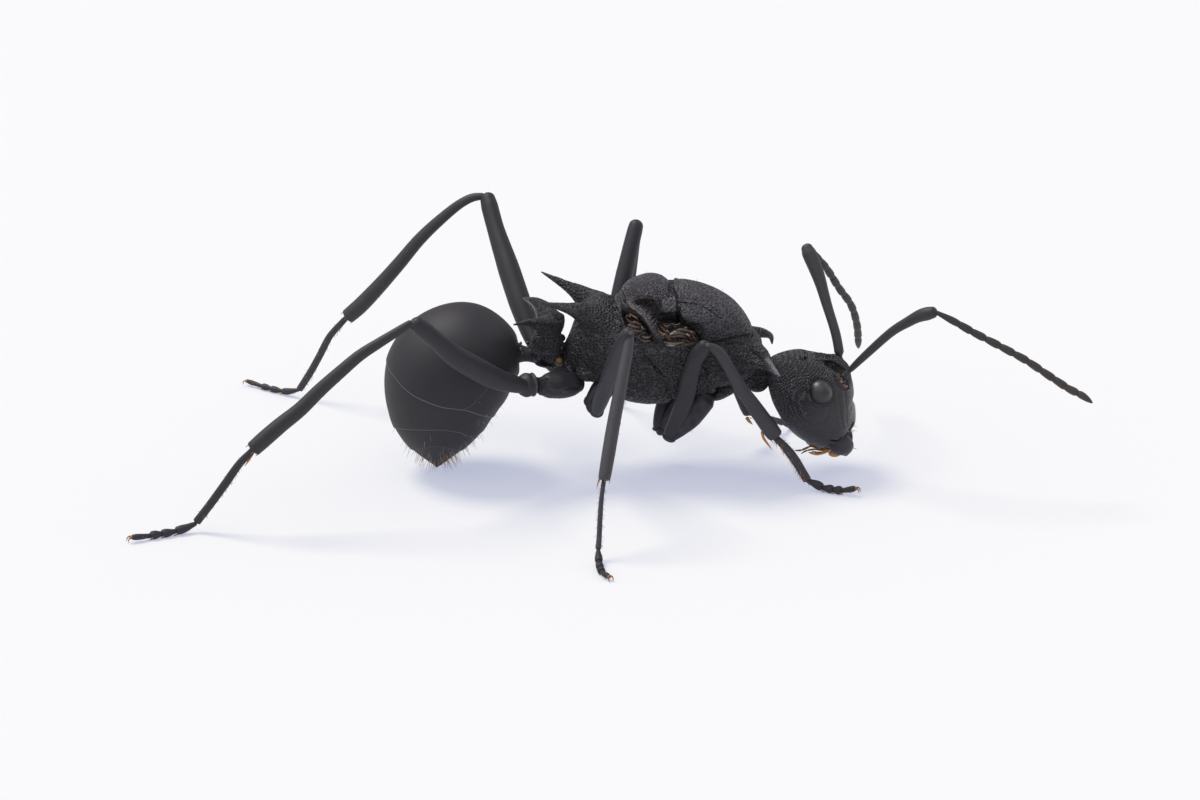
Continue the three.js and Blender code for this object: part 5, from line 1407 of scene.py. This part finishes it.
# a dark ball behind the jaws: painted shade in the mouth
vv, ff = ball((0, 0, 0), (1, 1, 1), n=32, m=20)
b.add(head_point(vv * [0.30, 0.34, 0.16] + [1.10, 0.0, -0.16]), ff, DARK)
b.add(*ball(from_view(834.5, 453.4, -0.12), (0.150, 0.12, 0.085), n=24, m=14), AMBER * 1.25)
# thin dark rods along the seams under the plate over the mouth: painted shade
for pts, r_ in [([(831, 441.3), (834, 441.8), (838, 441.2), (841, 439)], 0.017), ([(827.5, 447), (830, 445.2), (832.5, 444)], 0.014), ([(845.5, 436.5), (847.5, 434.5), (849, 432)], 0.024)]:
    c_ = trace([seen(x, y, [HV, JAW]) + [0, -0.004, 0.001] for x, y in pts], 20)
    for sg in (1, -1):
        b.add(*tube([(x, -y * sg, z) for x, y, z in c_], [(0, r_ * 0.4), (0.5, r_), (1, r_ * 0.4)], n=8, m=24, ends=(0.9, 0.9)), DARK)
b.add(*ball(from_view(826, 448.5, -0.16), (0.13, 0.10, 0.07), n=24, m=14), AMBER * 0.5)
for pts, r in [
        ([(816, 447.8, -0.30), (811, 446.2, -0.34), (807, 447.8, -0.36), (801, 450.2, -0.38), (795, 450.6, -0.38)], 0.024),
        ([(823, 450.5, -0.26), (815, 449.4, -0.30), (809, 450.0, -0.32), (804, 451.8, -0.33), (801.5, 453.6, -0.33)], 0.022),
        ([(826, 452.0, -0.12), (820, 453.8, -0.14), (815, 454.0, -0.15), (809, 452.4, -0.16)], 0.030),
        ([(828, 451.5, 0.16), (819, 452.5, 0.20), (812, 451.5, 0.22)], 0.022)]:
    path = [from_view(*q_) for q_ in pts]
    tone = {0.024: AMBER * 0.30, 0.022: AMBER * 0.50, 0.030: AMBER * 1.15}[r]
    b.add(*tube(path, [(0, r), (0.3, r * 1.1), (0.36, r * 0.7), (0.42, r * 1.1), (0.66, r), (0.7, r * 0.6), (0.76, r), (1, r * 0.5)], n=12, m=36), tone)
o = b.make("mouthparts", M_SOFT)
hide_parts("mouthparts")

# ------------------------------------------------------------------ wing roots

for side, sg in (("left", 1), ("right", -1)):
    b = Build()

    def bit(path, radii, colour, n=16):
        b.add(*tube([(x, y * sg, z) for x, y, z in path], radii, n=n, m=24, ends=(0.9, 0.9)), colour)

    # front wing: an arch left of the torn wing, with the little plates round it
    def near(pts):
        return [tuple(np.abs(from_view(x, y, -w))) for x, y, w in pts]

    OLIVE = np.array([0.060, 0.046, 0.020])
    bit(near([(669, 337, 0.99), (671.5, 333, 1.02), (677, 330.5, 1.05), (685, 330, 1.06), (691, 332.5, 1.05), (694.5, 339, 1.02)]), [(0, 0.022), (0.3, 0.036), (0.5, 0.040), (0.75, 0.030), (1, 0.020)], RUST * 0.26 + PALE * 0.02)
    bit(near([(670, 334.5, 1.05), (674, 333, 1.08), (679, 332.6, 1.09), (688, 335, 1.06)]), [(0, 0.024), (0.3, 0.040), (0.6, 0.034), (1, 0.018)], PALE * 0.13 + RUST * 0.12)
    bit(near([(658.5, 331, 0.98), (662, 333.5, 1.02), (667, 335, 1.04)]), [(0, 0.014), (0.5, 0.026), (1, 0.014)], AMBER * 0.30)
    bit(near([(630, 314, 0.87), (634, 316.5, 0.91), (637, 318, 0.93)]), [(0, 0.012), (0.5, 0.022), (1, 0.012)], AMBER * 0.34)
    bit(near([(664.5, 325.5, 0.93), (668, 327.5, 0.96)]), [(0, 0.010), (0.5, 0.016), (1, 0.010)], AMBER * 0.25)
    bit(near([(693, 336, 1.06), (696, 341, 1.03)]), [(0, 0.012), (0.5, 0.022), (1, 0.012)], AMBER * 0.16)
    # two small pale bits: painted glints
    bit(near([(670.5, 334, 1.10), (673, 333, 1.12)]), [(0, 0.022), (1, 0.022)], PALE * 0.5)
    bit(near([(687, 334, 1.10), (689, 335.5, 1.10)]), [(0, 0.024), (1, 0.024)], PALE * 0.5)
    bit(near([(672, 336.5, 1.01), (679, 335, 1.04), (686, 337, 1.03)]), [(0, 0.03), (0.5, 0.055), (1, 0.03)], OLIVE)
    bit(near([(661.5, 327, 0.95), (665, 331, 0.99), (668, 336, 1.00), (671, 339, 1.00)]), [(0, 0.015), (0.5, 0.030), (1, 0.015)], RUST * 0.42)
    bit(near([(663, 333, 0.98), (667, 337.5, 1.01), (672, 340, 1.02)]), [(0, 0.015), (0.5, 0.024), (1, 0.015)], RUST * 0.32)
    bit(near([(663, 324, 0.90), (667, 326, 0.93), (671, 325, 0.94)]), [(0, 0.012), (0.5, 0.020), (1, 0.012)], AMBER * 0.12)
    bit(near([(672, 323.5, 0.92), (676, 325, 0.94), (680, 323.5, 0.94)]), [(0, 0.012), (0.5, 0.018), (1, 0.012)], OLIVE * 1.6)
    bit(near([(664, 342, 1.03), (670, 343.5, 1.06), (677, 343.5, 1.07), (684, 342, 1.06)]), [(0, 0.015), (0.3, 0.030), (0.7, 0.026), (1, 0.015)], OLIVE * 1.3 + PALE * 0.06)
    bit(near([(667, 345, 1.06), (671, 345.5, 1.08), (675, 345.5, 1.08)]), [(0, 0.012), (0.5, 0.020), (1, 0.012)], PALE * 0.40)
    bit(near([(688, 335, 1.02), (692, 339, 1.01), (697, 343, 0.99)]), [(0, 0.02), (0.5, 0.030), (1, 0.015)], RUST * 0.25)
    bit(near([(684, 340, 1.04), (689, 341.5, 1.04), (694, 343.5, 1.02)]), [(0, 0.015), (0.5, 0.026), (1, 0.015)], RUST * 0.28)
    # crumpled membrane and small plates in both pockets
    crumb = np.random.default_rng(5)
    for k in range(30):
        if k < 18:
            x, y = crumb.uniform(661, 696), 0
            y = 333 + crumb.uniform(-8, 9) * (1 - abs(x - 678) / 26)
            w = 1.02 + crumb.uniform(-0.02, 0.04)
        else:
            x = crumb.uniform(627, 644)
            y = 317 + (x - 627) * 0.75 + crumb.uniform(-3, 6)
            w = 0.90 + 0.007 * (x - 627) + crumb.uniform(0, 0.03)
        a = crumb.uniform(-0.9, 0.9)
        l_ = crumb.uniform(1.2, 3.0)
        tone = [RUST * 0.24, RUST * 0.36, OLIVE * 0.8, PALE * 0.13, AMBER * 0.12, BLACK * 0.6, PALE * 0.26][crumb.integers(7)]
        bit(near([(x - l_ * math.cos(a), y - l_ * math.sin(a), w - 0.01), (x, y + crumb.uniform(-1, 1), w + 0.015), (x + l_ * math.cos(a), y + l_ * math.sin(a), w - 0.01)]), [(0, 0.008), (0.5, crumb.uniform(0.012, 0.028)), (1, 0.008)], tone, n=10)
    # hind wing
    bit(near([(627, 319, 0.90), (631, 322, 0.94), (636, 322.5, 0.97), (641, 325, 0.99)]), [(0, 0.018), (0.5, 0.034), (1, 0.018)], RUST * 0.36)
    bit(near([(631, 315.5, 0.88), (635, 317, 0.91), (638, 319.5, 0.93)]), [(0, 0.012), (0.5, 0.022), (1, 0.012)], AMBER * 0.13)
    bit(near([(628, 325, 0.95), (633, 326, 0.98), (639, 327.5, 1.00)]), [(0, 0.015), (0.5, 0.026), (1, 0.015)], PALE * 0.14 + RUST * 0.12)
    bit(near([(628, 329, 0.98), (634, 331, 1.01), (640, 331, 1.02), (644, 333, 1.02)]), [(0, 0.02), (0.5, 0.034), (1, 0.02)], RUST * 0.30)
    bit(near([(642, 336, 1.02), (646, 337.5, 1.04), (650, 337, 1.05)]), [(0, 0.012), (0.5, 0.026), (1, 0.012)], PALE * 0.30)
    bit(near([(640, 339.5, 1.03), (645, 341, 1.05), (650, 340.5, 1.05)]), [(0, 0.02), (0.5, 0.03), (1, 0.02)], OLIVE * 0.8)
    o = b.make("wing_root_" + side, M_WING)
    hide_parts("wing_stub_" + side)

# ------------------------------------------------------------------ hairs

GOLD = np.array([0.42, 0.21, 0.055])
BRONZE = np.array([0.16, 0.085, 0.03])


class Hairs(Build):
    """Thin tapered hairs, each with its own small patch of the map OFBake."""

    def __init__(self):
        super().__init__()
        self.uv = []

    def hair(self, root, way, length, r, colour, uv, bend=(0, 0, -0.25)):
        root, way = np.asarray(root, float), unit(way)
        p = [root - way * r * 1.5, root + way * length * 0.5 + np.asarray(bend) * length * 0.12, root + way * length + np.asarray(bend) * length * 0.5]
        for q_ in p:
            q_[2] = max(q_[2], 0.006)
        v, f = tube(p, [(0, r), (0.5, r * 0.72), (1, r * 0.18)], n=5, m=6, ends=(0.5, 1.0))
        self.add(v, f, colour)
        k = np.arange(len(v))
        a = k * 2.399
        rr = 0.0014 * np.sqrt((k + 1) / len(v))
        self.uv.append(np.stack([uv[0] + rr * np.cos(a), uv[1] + rr * np.sin(a)], 1))

    def finish(self, name, slot):
        o = self.make(name, M_HAIR)
        uv = np.vstack(self.uv)
        layer = o.data.uv_layers.new(name="OFBake")
        loop = np.zeros(len(o.data.loops), np.int32)
        o.data.loops.foreach_get("vertex_index", loop)
        layer.data.foreach_set("uv", uv[loop].astype(np.float32).ravel())
        return o


# on the gaster: long golden hairs, thickest round the tip
h = Hairs()
m, n = GP.shape[:2]
count = 0
while count < 230:
    t, a = rng.uniform(0.45, 0.985), rng.uniform(0, 2 * math.pi)
    under = 0.5 - 0.5 * math.cos(a)                        # 1 below, 0 on the back
    want = 0.02 + 0.98 * under ** 1.5 if t < 0.84 else 0.45 + 0.55 * under
    want *= 0.12 + 0.88 * smooth(0.66, 0.96, t)
    if rng.random() > want:
        continue
    i, j = int(t * (m - 1)), int(a / (2 * math.pi) * n) % n
    long_ = rng.uniform(0.10, 0.20) + 0.12 * smooth(0.7, 0.95, t) * rng.random()
    way = GN[i, j] + np.array([0.1, 0, -0.55]) + rng.normal(0, 0.16, 3)
    c = (GOLD * 0.8 + 0.03) * rng.uniform(0.5, 1.2) if rng.random() < 0.75 else np.array([0.45, 0.40, 0.33])
    h.hair(GP[i, j] + GN[i, j] * 0.012, way, long_, rng.uniform(0.0036, 0.0056), c, (a / (2 * math.pi), t))
    count += 1
h.finish("hairs_gaster", "gaster_shell")

# on the rim below the scutellum
h = Hairs()
for sg in (1, -1):
    c = trace([(0.66, 0.70, 4.50), (0.84, 0.81, 4.43), (1.02, 0.90, 4.31), (1.17, 0.95, 4.17), (1.28, 1.00, 4.05)], 60)
    for k in range(20):
        i = rng.integers(0, 60)
        p = c[i] * [1, sg, 1] + [0, 0, -0.01]
        h.hair(p, np.array([0.45, 0.35 * sg, 0.75]) + rng.normal(0, 0.15, 3), rng.uniform(0.10, 0.17), 0.0036, np.array([0.30, 0.28, 0.27]) * rng.uniform(0.4, 1.3), (0.5 + 0.2 * sg, i / 60), bend=(0.2, 0, 0))
# scattered upright hairs on the scutum and scutellum
for x, y, z in [(2.9, 0.3, 4.43), (2.3, 0.35, 4.68), (1.1, 0.2, 4.91), (0.9, -0.25, 4.86), (2.5, -0.2, 4.64), (3.2, -0.15, 4.22)]:
    h.hair((x, y, z), np.array([0.1, y, 1.0]), 0.09, 0.004, BRONZE, (0.5 + y / 4, x / 6))
h.finish("hairs_trunk", "rough_shell")

# on the legs
h = Hairs()
place = {"front": 0.08, "middle": 0.40, "hind": 0.72}


def bristles(path, radii, count, length, r, colour, lean, uv0, under=0.0, along=(0.03, 0.97)):
    """Hairs round a rod: lean 0 stands out, 1 lies along it; under picks the lower side."""
    c = trace(path, 120)
    rr = pchip(*zip(*radii), np.linspace(0, 1, 120))
    t, u, w = frames(c, [0.1, 0.2, 1.0])
    for _ in range(count):
        i = int(rng.uniform(*along) * 119)
        a = rng.uniform(0, 2 * math.pi)
        out = u[i] * math.cos(a) + w[i] * math.sin(a)
        if rng.random() < under and out[2] > -0.2:
            out = -out
        way = out * (1 - lean) + t[i] * (0.35 + lean)
        h.hair(c[i] + out * rr[i] * 0.93, way, length * rng.uniform(0.7, 1.25), r, colour * rng.uniform(0.7, 1.3), (uv0 + 0.05 * a / math.pi, 0.02 + 0.96 * i / 119), bend=(0, 0, 0))


for name, q in LEGS.items():
    uv0 = place[name.split("_")[0]] + (0.14 if name.endswith("left") else 0.0)
    k = q["brush"]
    rb = q["basi_r"]
    bristles(q["basi"], [(0, rb[0]), (0.45, rb[1]), (1, rb[3])], int(34 + 60 * k), 0.075 + 0.03 * k, 0.0048, AMBER * 0.8 if k > 0.9 else BRONZE * 1.4, 0.35, uv0, under=0.8)
    bristles(q["tibia"], q["tibia_r"], 26, 0.06, 0.0042, BRONZE, 0.5, uv0 + 0.005, under=0.7, along=(0.35, 0.98))
    bristles(q["tarsus"], [(0, q["tarsus_r"] * 0.8), (1, q["tarsus_r"] * 0.8)], 40, 0.06, 0.0045, BRONZE * 1.6, 0.45, uv0 + 0.01, under=0.6)
    bristles(q["femur"], q["femur_r"], 10, 0.05, 0.0040, BRONZE, 0.5, uv0 + 0.015, under=0.6, along=(0.2, 0.9))
    bristles(q["coxa"], q["coxa_r"], 12, 0.08, 0.0042, BRONZE * 1.5, 0.3, uv0 + 0.02, under=0.9, along=(0.3, 0.9))
h.finish("hairs_legs", "leg_shell")

# round the mouth
h = Hairs()
for k in range(26):
    sg = 1 if k % 2 else -1
    a = np.array([rng.uniform(1.02, 1.14), rng.uniform(0.10, 0.42) * sg, rng.uniform(0.28, 0.42)])
    h.hair(head_point(a), head_point(a + [0.5, 0.1 * sg, 0.5]) - head_point(a), rng.uniform(0.08, 0.15), 0.0045, GOLD * rng.uniform(0.6, 1.3), (0.5 + 0.3 * a[1], 0.5 + 0.2 * a[2]))
for k in range(20):
    sg = 1 if k % 2 else -1
    a = np.array([rng.uniform(1.25, 1.58), rng.uniform(0.12, 0.34) * sg, 0.10])
    h.hair(head_point(a), head_point(a + [0.5, 0.0, 0.4]) - head_point(a), rng.uniform(0.05, 0.09), 0.004, BRONZE * 1.3, (0.5 + 0.3 * a[1], 0.8 + 0.1 * a[0]))
h.finish("hairs_mouth", "jaw")


# ------------------------------------------------------------------ floor, light and camera

TARGET = row([0, 0, 1.806])
DIST = 0.150

me = bpy.data.meshes.new("floor")
s = 1.6
me.from_pydata([(-s, -s, 0), (s, -s, 0), (s, s, 0), (-s, s, 0)], [], [(0, 1, 2, 3)])
floor = bpy.data.objects.new("floor", me)
bpy.context.scene.collection.objects.link(floor)
fm = bpy.data.materials.new("floor")
fm.use_nodes = True
fb = fm.node_tree.nodes["Principled BSDF"]
fb.inputs["Base Color"].default_value = (0.433, 0.417, 0.309, 1)
# a white light table: part of its brightness is its own, which keeps the shadow pale
fb.inputs["Emission Color"].default_value = (0.664, 0.723, 1.0, 1)
fb.inputs["Emission Strength"].default_value = 0.560
fb.inputs["Roughness"].default_value = 0.9
fb.inputs["Specular IOR Level"].default_value = 0.1
me.materials.append(fm)
floor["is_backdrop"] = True

world = bpy.data.worlds.new("world")
bpy.context.scene.world = world
world.use_nodes = True
bg = world.node_tree.nodes["Background"]
bg.inputs["Color"].default_value = (0.980, 0.950, 1.0, 1)
bg.inputs["Strength"].default_value = 0.43


def sun(name, direction, strength, angle, colour):
    l = bpy.data.lights.new(name, "SUN")
    l.energy = strength
    l.angle = math.radians(angle)
    l.color = colour
    o = bpy.data.objects.new(name, l)
    bpy.context.scene.collection.objects.link(o)
    from mathutils import Vector
    o.rotation_euler = Vector(direction).to_track_quat("-Z", "Y").to_euler()
    return o


sun("key", (0.40, -0.26, -0.88), 2.30, 24, (1.0, 0.975, 0.95))
sun("fill", (0.05, 0.60, -0.80), 0.60, 80, (1.0, 0.98, 0.99))
sun("side", (0.88, 0.10, -0.46), 0.48, 60, (1.0, 0.98, 0.98))
sun("rim", (-0.82, -0.34, -0.46), 0.42, 46, (0.98, 0.98, 1.0))

cam = bpy.data.cameras.new("camera")
cam.sensor_width = 36.0
cam.lens = 36.0 * 150.0 / (1200.0 / 42.0)
cam.clip_start, cam.clip_end = 0.005, 20.0
camo = bpy.data.objects.new("camera", cam)
bpy.context.scene.collection.objects.link(camo)
camo.location = (TARGET[0], TARGET[1] - DIST * math.cos(PITCH), TARGET[2] + DIST * math.sin(PITCH))
camo.rotation_euler = (math.radians(90) - PITCH, 0, 0)
bpy.context.scene.camera = camo
bpy.context.scene.view_settings.view_transform = "Standard"
bpy.context.scene.view_settings.look = "None"
bpy.context.scene.view_settings.exposure = 0.0
bpy.context.scene.view_settings.gamma = 1.0



def plain(v):
    return [plain(i) for i in v] if hasattr(v, "__len__") else float(v)


{"cad": plain(CAD_BOX), "visual": plain(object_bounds())}
